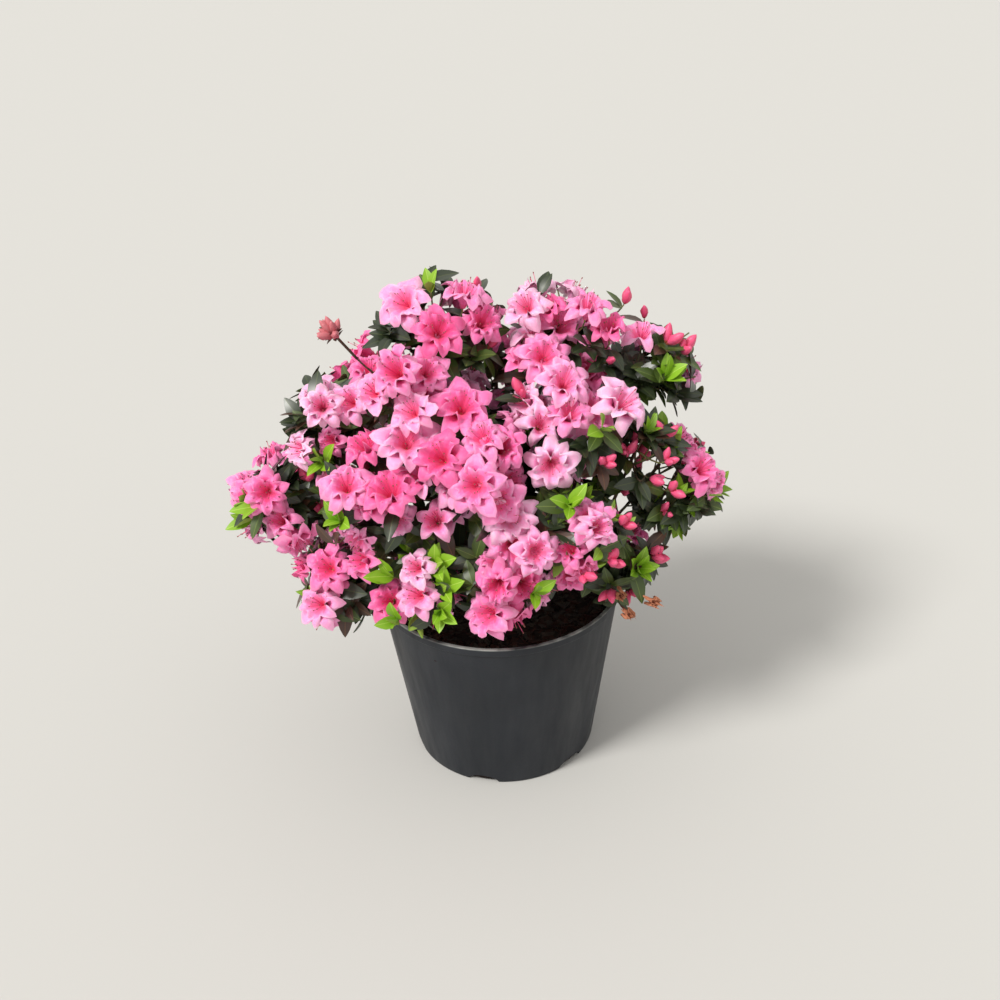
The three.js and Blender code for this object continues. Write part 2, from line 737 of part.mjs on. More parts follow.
// A piece takes the first of a few turns and tilts at which it is clear of the others and stays in its space.
function placePiece(piece, limb, shoots, taken) {
  const shoot = piece.shoot;
  for (let attempt = 0; attempt < PLACE_ATTEMPTS; attempt++) {
    const tilt = piece.tilt * (1 - ATTEMPT_LIFT * attempt);
    const along = tilted(shoot.axis, tilt, piece.turn + ATTEMPT_TURN * attempt);
    const root = belowTip(shoot, piece.drop + piece.slide * attempt);
    const scale = 1 - ATTEMPT_SHRINK * attempt;
    const placing = facing(root, along, shoot.axis).scale(new THREE.Vector3(scale, scale, scale));
    const shape = piece.shape.clone().applyMatrix4(placing);
    const samples = samplesOf(shape, root);
    const clear = clearOfTwigs(samples, shoot, shoots) && clearOfPieces(samples, piece, taken);
    if (clear && fits(shape, limb)) {
      taken.push({ samples, room: piece.room, shoot });
      return shape;
    }
  }
  return null;
}

// A spray is its stem and twigs with all that finds a place on them, the largest pieces first.
function addSpray(limb, seed) {
  const next = seededNumbers(seed);
  const footRadius = limbRadius(limb, 1);
  const endRadius = Math.min(footRadius, SPRAY_STEM_TIP_RADIUS);
  const taper = (t) => footRadius + (endRadius - footRadius) * t;
  const shoots = isBareSprig(limb) ? [sprigShoot(limb)] : growShoots(limb, next);
  let spray = bentTube(sprayStemCurve(limb), taper, SPRAY_STEM_SIDES, SPRAY_STEM_STEPS);
  for (const shoot of shoots) {
    spray = spray.add(twig(shoot));
  }
  const pieces = shoots.flatMap((shoot) => endPieces(shoot, limb, next));
  pieces.sort((a, b) => a.order - b.order);
  const taken = [];
  for (const piece of pieces) {
    const placed = placePiece(piece, limb, shoots, taken);
    if (placed) {
      spray = spray.add(toSolid(placed));
    }
  }
  addNode(`spray_${limb.name}`, largestPiece(spray), limb.bloom > MOSTLY_BLOSSOM ? 'blossom' : 'foliage');
}

for (const limb of limbs) {
  limb.centre = new THREE.Vector3(...limb.at);
  limb.curve = limbCurve(limb);
}
const wood = allWood();

addPot();
addMix();
addNode('main_stem', stemTube(0), 'bark');
limbs.forEach(addLimb);
limbs.forEach((limb, i) => addSpray(limb, i + 1));

export default azalea;
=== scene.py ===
import math

import bpy
import numpy as np
from mathutils import Matrix, Vector


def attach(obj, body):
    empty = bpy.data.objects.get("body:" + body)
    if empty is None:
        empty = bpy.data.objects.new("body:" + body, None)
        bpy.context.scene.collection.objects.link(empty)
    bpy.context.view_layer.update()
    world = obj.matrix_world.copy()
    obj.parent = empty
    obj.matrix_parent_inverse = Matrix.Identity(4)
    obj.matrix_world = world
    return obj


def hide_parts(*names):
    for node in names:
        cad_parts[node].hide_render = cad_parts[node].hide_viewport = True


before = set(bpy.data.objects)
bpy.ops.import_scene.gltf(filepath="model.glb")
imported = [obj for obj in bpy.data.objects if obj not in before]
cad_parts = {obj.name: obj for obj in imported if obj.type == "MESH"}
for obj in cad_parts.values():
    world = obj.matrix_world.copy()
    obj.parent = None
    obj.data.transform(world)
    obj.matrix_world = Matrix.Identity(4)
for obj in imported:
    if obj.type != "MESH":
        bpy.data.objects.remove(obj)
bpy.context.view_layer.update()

MM = 0.001
UP = np.array([0.0, 0.0, 1.0])
SIDEWAYS = np.array([1.0, 0.0, 0.0])
BACKWARD = np.array([0.0, 1.0, 0.0])
NEARLY_UPRIGHT = 0.9

# The camera, fitted to the pot in a picture of 1000 by 1000 pixels, in metres and degrees
PICTURE = 1000
FOCAL_PIXELS = 1300
SENSOR_MM = 36
CAMERA_LOOK = np.array([0.004, 0.0, 0.320])
CAMERA_ELEVATION = 30.1
CAMERA_DISTANCE = 1.452
CAMERA_ROLL = -2.18

# The light, the floor and the air round the plant
KEY_FROM = (-0.62, -0.5, 0.85)
KEY_STRENGTH = 2.7
KEY_SOFTNESS = 16
KEY_COLOUR = (1.0, 0.98, 0.94)
WORLD_STRENGTH = 0.76
WORLD_COLOUR = (1.0, 0.985, 0.945)
FLOOR_COLOUR = (197, 196, 193)
FLOOR_ROUGHNESS = 0.95
FLOOR_HALF_METRES = 20.0

# The pot
POT_HEIGHT = 216
RIM_RADIUS = 140
FOOT_RADIUS = 107
FOOT_ROUND = 2.6
FOOT_STEPS = 6
WALL = 2.4
WALL_STARTS = 6
WALL_RINGS = 24
INSIDE_RINGS = 20
FLOOR_THICK = 3.2
LIP_HEIGHT = 9
LIP_PROUD = 2.6
LIP_ROUND = 1.4
LIP_STEPS = 5
LIP_UNDERSIDE_TURN = -80
POT_SIDES = 160
POT_SHARP_FROM = 38
DRAIN_COUNT = 6
DRAIN_WIDTH = 36
DRAIN_HEIGHT = 10
DRAIN_DEPTH = 14
DRAIN_FIRST_BEARING = -105
DRAIN_ARC_STEPS = 20
# A pale line painted along the top of the lip as a highlight, broken up by noise: where it is full, its
# patches, their scale and its colour
RIM_HIGHLIGHT_FULL = 0.3
RIM_HIGHLIGHT_PATCHES = (0.36, 0.6)
RIM_HIGHLIGHT_SCALE = 28
RIM_HIGHLIGHT_COLOUR = (148, 150, 146)

# The mix, its two runs of lumps (how broad they are, and how they follow one another), and its loose chips
MIX_TOP = 192
MIX_EDGE_DROP = 7
MIX_SHOULDER = 3
MIX_RINGS = 26
MIX_SIDES = 96
MIX_WAVES = 9
MIX_LUMPS = 2.2
MIX_SINK = 1.2
BROAD_LUMPS = (9, 0.9)
SMALL_LUMPS = (4, 1.7)
SMALL_LUMPS_SHARE = 0.6
CHIP_COUNT = 2300
CHIP_INSET = 6
CHIP_LENGTHS = (6, 17)
CHIP_WIDTHS = (0.3, 0.65)
CHIP_THICKNESSES = (1.5, 3.7)
CHIP_HEIGHTS = (-0.6, 1.9)
CHIP_VARIES = 0.3
CHIP_LEAN = 0.8
GAP = 0.3

# How far growth keeps off the pot and the wood
ABOVE_POT = 3
ABOVE_MIX = 5
INSIDE_RIM = 9
OUTSIDE_RIM = 4
OFF_WOOD = 1.8
WOOD_SPOTS = 40
TWIG_SPOTS = 12

# The main stem, boughs and side limbs, by the model's rule
STEM_FLARE_RADIUS = 19
STEM_RADIUS = 11.5
STEM_TOP = 238
STEM_LEAN = np.array([4.0, 3.0, 0.0])
FLARE_POWER = 3.2
LIMB_TAPER = 0.52
LIMB_END = 0.66
LIMB_START_PULL = 0.36
LIMB_END_PULL = 0.34
LIMB_UPTURN = 0.3
LEADER_OFFSET = 5.6
BOUGH_SLOPE = 0.6
SIDE_LIMB_FOLLOW = 0.45
WOOD_SIDES = 16
WOOD_STEP = 3.5
WOOD_LEAST_STEPS = 10
TUBE_END_ROUND = 0.5
BARK_WAVES = 7
BARK_RELIEF = 0.198
WAVE_MOST_AROUND = 5
WAVE_PACES = (0.08, 0.58)
WAVE_SIZES = (0.4, 1.0)
FLARE_LOBES = 4
FLARE_LOBE_DEPTH = 0.16
STEM_ROUND_FROM = 0.9
STEM_ROUND_OVER = 0.1
STEM_ROUNDING = 0.75

# The stems, twigs and shoots of the sprays, by the model's rule
CROWN_HEART = np.array([-5.0, 10.0, 290.0])
CELL_MARGIN = 0.45
LEAFY_HEART = np.array([0.0, 18.0, 362.0])
LEAFY_HEART_REACH = 98
SPRAY_STEM_TIP_RADIUS = 1.5
SPRAY_STEM_BEND = 0.5
SPRAY_STEM_EASE = 0.4
STEM_PAST_MIDDLE = 12
TWIG_DIRECTIONS = 9
TWIG_INWARD_LIMIT = -0.3
TWIG_BACK_LIMIT = 0.72
TWIG_ROOM = 26
BLOSSOM_ROOM = 34
TWIG_SHORTEST = 12
TWIG_LEAST_REACH = 0.85
FIRST_TWIG = 0.15
SHOOT_UPTURN = 0.5
SHOOT_OUTWARD = 0.35
SHOOT_FOOT_BEND = 0.25
SHOOT_FOOT_PULL = 0.35
SHOOT_TIP_PULL = 0.3
GOLDEN_ANGLE = 2.399963
WHORL_LEAVES = 3
TRUSS_LEAVES = 1
SMALL_COUNT = 2
SPRIG_BUDS = 11
SPRIG_FAN = 1.25
SPRIG_STEM_RADIUS = 1.5
SPRIG_BUD_LENGTH = 22
SPRIG_FIRST_TILT = 0.12
SPRIG_BUD_WIDTH = 0.82
SPRIG_SINK = 3
SPRAY_STEM_SIDES = 8
SPRAY_STEM_STEPS = 8
BLOSSOM_TILT = 0.35
BLOSSOM_TILT_VARIES = 0.5
BLOSSOM_SLIDE = 5
BLOSSOM_RADIUS_VARIES = 0.1
PLACE_ATTEMPTS = 5
ATTEMPT_TURN = 0.8
ATTEMPT_LIFT = 0.12
ATTEMPT_SHRINK = 0.05

# The finer growth that the model leaves out
TWIG_FOOT_RADIUS = 1.25
TWIG_TIP_RADIUS = 0.8
FINE_TWIG_RADIUS = 1.0
FRONT_TWIG_RADIUS = 1.1
TWIG_SIDES = 6
TWIG_STEP = 9
TWIG_LEAST_STEPS = 3
TWIG_END_UPTURN = 0.3
SIDE_TWIG_SHARES = (0.3, 0.52, 0.74)
SIDE_TWIG_TILT = 0.95
SIDE_TWIG_TILT_VARIES = 0.2
SIDE_TWIG_UPTURN = 0.35
SIDE_TWIG_OUTWARD = 0.3
SIDE_TWIG_REACH = (0.42, 0.7)
SIDE_TWIG_LEAST = 13
STEM_TWIG_SHARES = (0.12, 0.3, 0.48, 0.66, 0.84)
STEM_TWIG_TILT = 1.05
STEM_TWIG_TILT_VARIES = 0.15
STEM_TWIG_LEAFINESS = 0.4
STEM_TWIG_LENGTHS = (16, 30)
LIMB_TWIG_STEP = 10
LIMB_TWIG_FIRST = 0.3
LIMB_TWIG_LENGTHS = (18, 44)
OPEN_SPRAY_DOES_WITHOUT = 1
OPEN_SPRAY_KEEPS_EACH = 3
TRUSS_COMPANIONS = 3
LEAST_COMPANIONS = 1
LEAST_COMPANIONS_BEHIND = 2
COMPANION_TILT = 1.12
COMPANION_TILT_VARIES = 0.25
COMPANION_UPTURN = 0.12
COMPANION_RADIUS_VARIES = 0.13
COMPANION_TRIES = 7
TWIG_BLOOM = 0.85
TWIG_BLOSSOM_VARIES = 0.12
TWIG_BUD_SHARE = 0.55
BACK_TWIG_BLOOM = 1.25
BACK_FROM = 60

# The form of a blossom, for a radius of 1 where no length is named
BLOSSOM_RADIUS = 30
BLOSSOM_DEPTH = 22
LOBES = 5
LOBE_STEPS = 8
LOBE_CUT = 0.52
LOBE_CUT_FLARE = 1.6
LOBE_POINT = 1.25
LOBE_LENGTH_VARIES = 0.08
LOBE_HOLLOW = 0.13
LOBE_HOLLOW_LEVEL = 0.4
LOBE_TWIST = 0.32
LOBE_RECURVE = 0.34
RECURVE_VARIES = 0.6
RECURVE_POWER = 4
RECURVE_AT_MARGIN = 0.5
CUT_VARIES = 0.14
CUP_RINGS = (0.0, 0.14, 0.3, 0.46, 0.62, 0.77, 0.9, 1.0)
CUP_POWER = 1.8
THROAT_SHARE = 0.09
THROAT_FLARE = 1.25
THROAT_FRONT = 0.02
THROAT_BACK = -0.05
RUFFLE = 0.085
RUFFLE_TURN = 0.05
RUFFLE_IN_MIDDLE = 0.5
CLOSED_SHARE = 0.3
CLOSED_STRETCH = 0.8
INNER_SHARE = 0.84
INNER_STRETCH = 1.04
INNER_FORWARD = 0.05
INNER_ODDS = 0.9
INNER_RUFFLE = 1.8
PETAL_THICK = 0.45
PETAL_BACK_SPREAD = 0.6
PETAL_TINTS = 6
TINT_BY_RING = 0.72
TINT_BY_MARGIN = 0.34
FLECK_RINGS = (1, 2)
WITHERED_RADIUS = 20
WITHERED_CLOSED = 0.45
WITHERED_CRUMPLE = 0.25
WITHERED_STRETCH = (1.15, 0.6, 0.6)
WITHERED_TINT_FROM = 2

# The stamens, the style and the stalk of a blossom
STAMENS = 6
STAMEN_START = 2
STAMEN_LENGTH = 0.78
STAMEN_VARIES = 0.12
STAMEN_LEAN = 0.3
STAMEN_RISE = 1.5
STAMEN_RADIUS = 0.32
STAMEN_START_PULL = 0.4
STAMEN_END_PULL = 0.3
STAMEN_SIDES = 4
STAMEN_STEPS = 3
STYLE_LENGTH = 1.02
STYLE_LEAN = 0.1
ANTHER_STEP = 0.6
ANTHER_RADIUS = 0.75
ANTHER_SIDES = 5
ANTHER_STEPS = 2
ANTHER_ROUND_FROM = 0.2
ANTHER_ROUND_OVER = 0.6
PEDICEL_LENGTH = 7
PEDICEL_VARIES = 0.3
PEDICEL_LEAST = 4.0
PEDICEL_SINK = 2
TWIG_PEDICEL_SINK = 3
PEDICEL_RADIUS = 0.8
PEDICEL_START_PULL = 0.4
PEDICEL_END_PULL = 0.45
PEDICEL_SIDES = 6
PEDICEL_STEPS = 5
CUP_DEPTH = 0.6
CUP_SWELL = 0.9
CUP_SWELL_POWER = 6

# The room that a blossom takes: a funnel, tried at a few spots
BLOSSOM_OVERLAP = 8.0
FUNNEL_THROAT = 0.1
FUNNEL_PAST = 4
FUNNEL_TURNS = 10
FUNNEL_SPOTS = ((0.97, 0.86), (0.6, 0.72))
FUNNEL_MIDDLE = 0.9
MOUTH_SPOTS = 6
NEIGHBOUR_REACH = 2.6

# Leaves, for a length of 1 where no length is named
LEAF_LENGTHS = (27, 41)
SHORT_LEAF_LENGTHS = (24, 34)
INNER_LEAF_LENGTHS = (22, 34)
NEW_LEAF_LENGTHS = (20, 31)
BRIGHT_FRONT_LENGTHS = (25, 35)
LEAF_STATIONS = (0.16, 0.36, 0.58, 0.78, 0.92)
LEAF_ROUNDNESS = 0.85
LEAF_FOOT = -0.02
LEAF_KEEL = 0.02
RIB_HALF_WIDTH = 0.011
RIB_OF_HALF = 0.5
LEAF_WIDE_SPOT = 0.6
LEAF_HALF_SPOT = 0.17
LEAF_NEAR_SPOT = 0.4
LEAF_LEAST_SIDE = 1e-6
WHORL_TURN_VARIES = 0.12
WHORL_TILT_VARIES = 0.35
WHORL_STEP = 1.5
LEAF_SLACK = 2.0
TUFT_SLACK = 10.0

# The forms of each kind of leaf: width, fold, droop and bluntness
LEAF_FORMS = {
    "dark": ((0.46, 0.35, 0.10, 0.85), (0.50, 0.2, 0.16, 0.85), (0.44, 0.5, 0.04, 0.85)),
    "mid": ((0.46, 0.3, 0.08, 0.9), (0.52, 0.25, 0.14, 0.9)),
    "bronze": ((0.46, 0.3, 0.10, 0.85), (0.5, 0.2, 0.16, 0.85)),
    "bright": ((0.46, 0.4, 0.02, 0.85), (0.52, 0.3, 0.1, 0.85)),
}

# The whorls at each form of tip: leaves, tilt, kind, lengths, how far they sit below the tip, and slack
WHORLS = {
    "truss": ((5, 1.75, "old", LEAF_LENGTHS, 4, LEAF_SLACK),),
    "bright": (
        (5, 0.8, "bright", BRIGHT_FRONT_LENGTHS, 1, TUFT_SLACK),
        (3, 0.35, "bright", NEW_LEAF_LENGTHS, 0, TUFT_SLACK),
        (4, 1.45, "mid", LEAF_LENGTHS, 6, LEAF_SLACK),
    ),
    "dark": (
        (6, 1.25, "dark", LEAF_LENGTHS, 3, LEAF_SLACK),
        (4, 0.8, "old", SHORT_LEAF_LENGTHS, 0, LEAF_SLACK),
    ),
    "bud": ((5, 1.4, "old", SHORT_LEAF_LENGTHS, 4, LEAF_SLACK),),
    "leaf": (
        (5, 1.3, "old", LEAF_LENGTHS, 5, LEAF_SLACK),
        (4, 0.95, "old", INNER_LEAF_LENGTHS, 2, LEAF_SLACK),
    ),
    "new": ((5, 0.45, "bright", NEW_LEAF_LENGTHS, 0, LEAF_SLACK),),
    "sprig": (
        (6, 1.25, "bronze", (9, 16), 3, LEAF_SLACK),
        (5, 0.8, "bronze", (12, 20), 0, LEAF_SLACK),
    ),
}
NEW_LEAF_ODDS = 0.2
FRESH_LEAF_ODDS = 0.55
BRONZE_ODDS = 0.14
MORE_BRONZE_ODDS = 0.4
DARK_UP_TO = 0.72

# Buds, for a length of 1 where no length is named
BUD_LENGTH = 21
BUD_WIDTH = 8.0
BUD_SIDES = 10
BUD_STATIONS = (0.0, 0.16, 0.36, 0.56, 0.74, 0.9)
BUD_FOOT = -0.02
BUD_FOOT_WIDTH = 0.22
BUD_SWELL = 0.95
BUD_SWELL_PLACE = 0.95
BUD_SWELL_POWER = 1.1
BUD_FLUTE = 0.13
BUD_WIND = 1.3
BUD_TILT = 0.42
BUD_TILT_VARIES = 0.4
BUD_LENGTH_VARIES = 0.2
BUD_FORWARD = 1.5
LEAST_BUDS = 2
MORE_BUDS = 2

# The seeded run of numbers
SEED_STEP = 7919
SEED_START = 104729
RUN_MULTIPLIER = 1664525
RUN_INCREMENT = 1013904223
RUN_RANGE = 4294967296
FINE_SEED = 400

# The runs for the finer growth as a whole, counted on from the limbs' own
FINISHING_RUN = 1
FLOWER_RUN = 2
FRONT_RUN = 3
OPENING_RUN = 4

# Each limb: name, where it leaves its carrier, the middle of its spray, the spray's radius, the limb's
# thickness, and the shares of its shoots with open blossom and with buds.
LIMBS = (
    ("left", 209, (-235, -30, 345), 76, 5.4, 0.6, 0.08),
    ("front_left", 225, (-122, -88, 372), 74, 4.8, 0.8, 0.05),
    ("front", 210, (-20, -82, 402), 80, 5, 0.95, 0),
    ("front_right", 226, (76, -104, 346), 68, 4.6, 0.5, 0.15),
    ("right", 209, (198, -25, 338), 66, 5.2, 0.45, 0.3),
    ("back", 211, (5, 112, 452), 84, 5.2, 0.6, 0.1),
    ("back_left", 226, (-122, 98, 412), 80, 5, 0.6, 0.1),
    ("top_left", "left_leader", (-58, 26, 500), 84, 5, 0.75, 0.05),
    ("top_right", "right_leader", (76, 36, 494), 84, 5, 0.75, 0.1),
    ("left_shoulder", ("left", 0.5), (-160, -22, 430), 74, 3.6, 0.6, 0.1),
    ("lower_left", ("left", 0.34), (-176, -66, 268), 66, 3.2, 0.6, 0.05),
    ("low_left", ("front_left", 0.36), (-82, -102, 284), 64, 3, 0.45, 0.1),
    ("low_centre", ("front", 0.3), (4, -112, 292), 66, 3, 0.7, 0),
    ("lower_right", ("front_right", 0.38), (130, -62, 276), 62, 3, 0.35, 0.4),
    ("right_middle", ("right", 0.5), (146, -44, 392), 66, 3.4, 0.2, 0.4),
    ("back_right", ("right", 0.32), (186, 80, 304), 74, 3.2, 0.55, 0.15),
    ("upper_left", ("top_left", 0.62), (-78, -48, 470), 68, 3.2, 0.85, 0),
    ("upper_right", ("top_right", 0.5), (74, -52, 430), 74, 3.4, 0.85, 0.05),
    ("right_shoulder", ("top_right", 0.58), (162, 32, 446), 74, 3.4, 0.4, 0.25),
    ("back_upper_right", ("back", 0.5), (120, 114, 398), 78, 3.4, 0.55, 0.1),
    ("back_low_right", ("back", 0.3), (72, 166, 312), 78, 3.2, 0.5, 0.1),
    ("back_low_left", ("back_left", 0.32), (-82, 162, 318), 80, 3.2, 0.55, 0.1),
    ("far_left_back", ("back_left", 0.5), (-192, 76, 322), 78, 3.4, 0.5, 0.1),
    ("bare_sprig", ("top_left", 0.8), (-154, -10, 522), 40, 1.9, 0, 1),
)

# Where blossoms, buds and leafy tips show from the front in the picture, in its pixels, group by group
FRONT_BLOSSOMS = {
    "top left corner": ((403, 302),),
    "top left": ((465, 292), (487, 321), (439, 331)),
    "top right": ((526, 306), (548, 302), (588, 304), (611, 325), (561, 318), (525, 360), (544, 356)),
    "upper left": ((397, 373), (430, 363), (462, 407), (426, 394)),
    "left shoulder": ((322, 407), (349, 400), (368, 390), (410, 411), (366, 446), (296, 451), (326, 446)),
    "far left": ((266, 493), (240, 493)),
    "left of the middle": ((345, 484), (366, 501), (391, 490), (414, 476), (407, 442), (431, 526)),
    "middle": ((440, 458), (475, 486), (483, 438), (449, 490), (504, 446), (502, 504)),
    "upper right": ((565, 379), (572, 408), (599, 402), (622, 405), (538, 424), (551, 465)),
    "right": ((704, 468), (718, 480), (641, 331), (597, 528), (571, 600)),
    "low in the middle": ((486, 620), (513, 522), (513, 545), (536, 552), (498, 584)),
    "lower left": ((327, 568), (316, 607), (358, 571), (415, 568), (415, 597), (380, 608)),
}
FRONT_BUDS = (
    (614, 365), (670, 338), (688, 348), (632, 300), (645, 310), (516, 392), (676, 497),
    (657, 518), (630, 524), (609, 470), (658, 555), (584, 584), (616, 568), (672, 463),
)
FRONT_BRIGHT_TUFTS = (
    (253, 507), (319, 468), (351, 425), (334, 524), (386, 576), (437, 562), (447, 590), (444, 618),
    (393, 628), (541, 596), (570, 501), (641, 571), (608, 554), (430, 284), (670, 378), (609, 428),
    (716, 497),
)
FRONT_DARK_TUFTS = (
    (292, 418), (382, 330), (702, 512), (300, 425), (334, 478), (282, 532), (386, 392), (477, 362),
    (441, 432), (593, 346), (637, 378), (651, 428), (686, 396), (542, 451), (582, 452), (553, 528),
    (683, 514), (469, 552), (566, 562), (434, 628), (326, 550),
)
FRONT_WITHERED = ((621, 606), (643, 596), (614, 590))

# How far inside its spray's space a thing that shows from the front sits, and which way it faces
FACE_INSET = 12
FACE_AHEAD = 0.8
FACE_TOUCH = 2
FACE_KEPT_FREE = 0.66
TUFT_INSET = 24
TUFT_DRAW_IN = 10
BUD_INSET = 14
BRIGHT_INSET = 10
FRONT_OUTWARD = 0.6
FRONT_TOWARD = 0.45
FRONT_UPTURN = 0.22
FRONT_LEAN = 0.85
TIP_TOWARD = 0.3
TIP_UPTURN = 0.5
WITHERED_TOWARD = 0.4
WITHERED_UPTURN = 0.2
SPRAY_OUTWARD = 0.5
OFF_SPRAY_WEIGHT = 10
FRONT_TWIG_LENGTH = 30
FRONT_TWIG_FEET = (0.05, 0.95, 10)
FRONT_STALK = 5

# The tries that a blossom in front has to find room, and how wide the larger groups open afterwards
FRONT_TRIES = 10
FRONT_STEP = 3.5
FRONT_STEP_BACK = 0.6
FRONT_SHRINK = 0.02
FRONT_SLACK = 9.0
FRONT_RADIUS_VARIES = 0.1
FRONT_GROWTH = (1.04, 1.3)
WIDE_GROUPS = (
    "top left", "top right", "upper left", "left of the middle", "middle", "upper right",
    "low in the middle",
)

# Where the ground shows through the crown in the picture, with the radius of each gap, in pixels
FRONT_GAPS = (
    (640, 456, 14), (662, 470, 13), (668, 504, 9), (625, 500, 8), (533, 384, 7), (511, 338, 6),
    (358, 464, 6), (496, 290, 9), (508, 300, 8), (712, 540, 24), (690, 562, 18), (736, 520, 15),
    (718, 430, 14), (238, 552, 14), (272, 562, 12),
)

# Where only leaves show, with the radius of each patch, in pixels
FRONT_LEAFY_PATCHES = ((380, 332, 15), (700, 514, 14), (290, 415, 12), (482, 357, 13))
GAP_FREE_OF_BLOSSOM = 0.6

# The share of a spray's blossom up to each tint, from the palest on, and the sprays that lean one way
EVEN_TINTS = (0.16, 0.42, 0.7, 0.9)
MORE_PALE_TINTS = (0.32, 0.62, 0.86, 0.96)
MORE_DEEP_TINTS = (0.06, 0.22, 0.55, 0.82)
PALE_SPRAYS = ("front", "top_left", "top_right", "left_shoulder", "upper_right")
DEEP_SPRAYS = ("front_left", "lower_left", "low_centre", "front_right", "right")
BRONZE_SPRAYS = ("left_shoulder", "upper_left", "back_left")
OPEN_SPRAYS = ("right_middle", "right", "lower_right")
FRESH_SPRAYS = ("low_left", "lower_right", "left", "right", "front_right")

# The tints of blossom, from the palest on: the petal's edge, its body, the throat and the flecks
PETAL_COLOURS = (
    ("pale", (255, 200, 230), (255, 162, 210), (252, 118, 160), (210, 56, 104)),
    ("light", (255, 180, 220), (254, 140, 196), (250, 102, 146), (196, 42, 92)),
    ("mid", (255, 160, 208), (252, 120, 182), (246, 86, 134), (180, 32, 84)),
    ("rosy", (254, 140, 194), (249, 100, 166), (238, 70, 118), (168, 28, 76)),
    ("deep", (252, 120, 178), (243, 84, 150), (230, 58, 108), (154, 22, 66)),
)
PETAL_GLOW_REACH = (3, 1.2, 1.6)
PETAL_GLOW = 0.22
PETAL_SHEEN = 0.12
PETAL_ROUGHNESS = 0.52
FLECK_ROUGHNESS = 0.55

# A petal's tints from the throat to the edge, as shares of the colours of its throat, body and edge
PETAL_BLENDS = ((1, 0, 0), (0.5, 0.5, 0), (0, 1, 0), (0, 0.6, 0.4), (0, 0.25, 0.75), (0, 0, 1))

# The tints of the leaves: top, rib and underside, then how rough the top is and how much coat it has
LEAF_COLOURS = {
    "dark": ((42, 52, 32), (76, 86, 52), (70, 80, 54), 0.36, 0.3),
    "mid": ((66, 84, 32), (104, 122, 58), (108, 124, 74), 0.42, 0.18),
    "bronze": ((70, 46, 34), (104, 72, 48), (104, 76, 62), 0.42, 0.2),
    "bright": ((132, 176, 36), (168, 200, 80), (150, 184, 76), 0.46, 0.1),
}
LEAF_COAT_ROUGHNESS = 0.3
LEAF_UNDER_ROUGHNESS = 0.7
RIB_ROUGHER_BY = 0.05

# The rough surfaces. Clouds, scuffs, flakes and grain are noise: its scale, its detail and how rough it is.
# Each tint has its place along that noise. Relief has a scale, a detail, a strength and a depth in metres.
POT_COLOUR = (26, 29, 36)
POT_ROUGHNESS = 0.5
POT_SHINE = 0.4
POT_CLOUDS = (9, 5)
POT_TINTS = ((0.32, (21, 25, 31)), (0.55, (27, 31, 38)), (0.8, (39, 42, 48)))
POT_SCUFFS = (60, 6)
POT_SCUFF_STRETCH = (1, 1, 0.12)
POT_SCUFF_ROUGHNESS = ((0.3, 0.4), (0.7, 0.62))
POT_RELIEF = (420, 3, 0.22, 0.0006)
BARK_COLOUR = (98, 79, 62)
BARK_ROUGHNESS = 0.85
BARK_SHINE = 0.3
BARK_FLAKES = (170, 6, 0.6)
BARK_FLAKE_STRETCH = (1, 1, 0.3)
BARK_TINTS = ((0.28, (46, 35, 28)), (0.5, (92, 73, 57)), (0.68, (124, 106, 88)), (0.85, (148, 134, 116)))
BARK_FINE_RELIEF = (380, 6, 0.7, 0.0008)
MIX_ROUGHNESS = 0.93
MIX_SHINE = 0.25
MIX_GRAIN = (130, 6, 0.65)
MIX_TINTS_AT = (0.3, 0.72)
MIX_RELIEF = (500, 5, 0.6, 0.0012)
SOIL_COLOURS = ((20, 13, 11), (44, 29, 23))
CHIP_COLOURS = {
    "chip_dark": ((22, 14, 12), (44, 30, 25)),
    "chip_red": ((38, 21, 17), (66, 39, 30)),
    "chip_grey": ((36, 30, 28), (74, 63, 55)),
}

# The plain looks of the other pieces, for each of their materials: name, colour, roughness and glow
PLAIN_LOOKS = {
    "stamens": (("filament", (226, 84, 134), 0.5, 0), ("anther", (150, 92, 84), 0.7, 0)),
    "blossoms_withered": (
        ("withered_throat", (150, 84, 66), 0.85, 0),
        ("withered_edge", (196, 128, 96), 0.85, 0),
    ),
    "buds": (("bud_petals", (236, 88, 132), 0.45, 0.1), ("bud_foot", (176, 88, 70), 0.55, 0)),
    "buds_sprig": (("sprig_petals", (204, 116, 124), 0.5, 0), ("sprig_foot", (122, 80, 48), 0.6, 0)),
    "twigs": (
        ("twig_brown", (84, 66, 50), 0.75, 0),
        ("twig_green", (104, 104, 62), 0.65, 0),
        ("stalk_green", (128, 150, 72), 0.6, 0),
    ),
}


def seeded_numbers(seed):
    """A run of numbers from 0 to 1 that is the same each time for the same seed."""
    state = (seed * SEED_STEP + SEED_START) % RUN_RANGE

    def following():
        nonlocal state
        state = (state * RUN_MULTIPLIER + RUN_INCREMENT) % RUN_RANGE
        return state / RUN_RANGE

    return following


def fine_run(number):
    """The run of that number for the finer growth as a whole."""
    return seeded_numbers(FINE_SEED + len(limbs) + number)


def varied(following, share):
    """A factor near 1, off by the given share at most."""
    return 1 - share + 2 * share * following()


def between(following, limits):
    """The next number of the run, laid between two limits."""
    return limits[0] + (limits[1] - limits[0]) * following()


def unit(vector):
    return vector / math.sqrt(vector @ vector)


def linear(red, green, blue):
    """A colour as it looks on a screen, 0 to 255, as the plain numbers a shader takes."""
    return tuple(
        c / 12.92 if c <= 0.04045 else ((c + 0.055) / 1.055) ** 2.4
        for c in (red / 255, green / 255, blue / 255)
    )


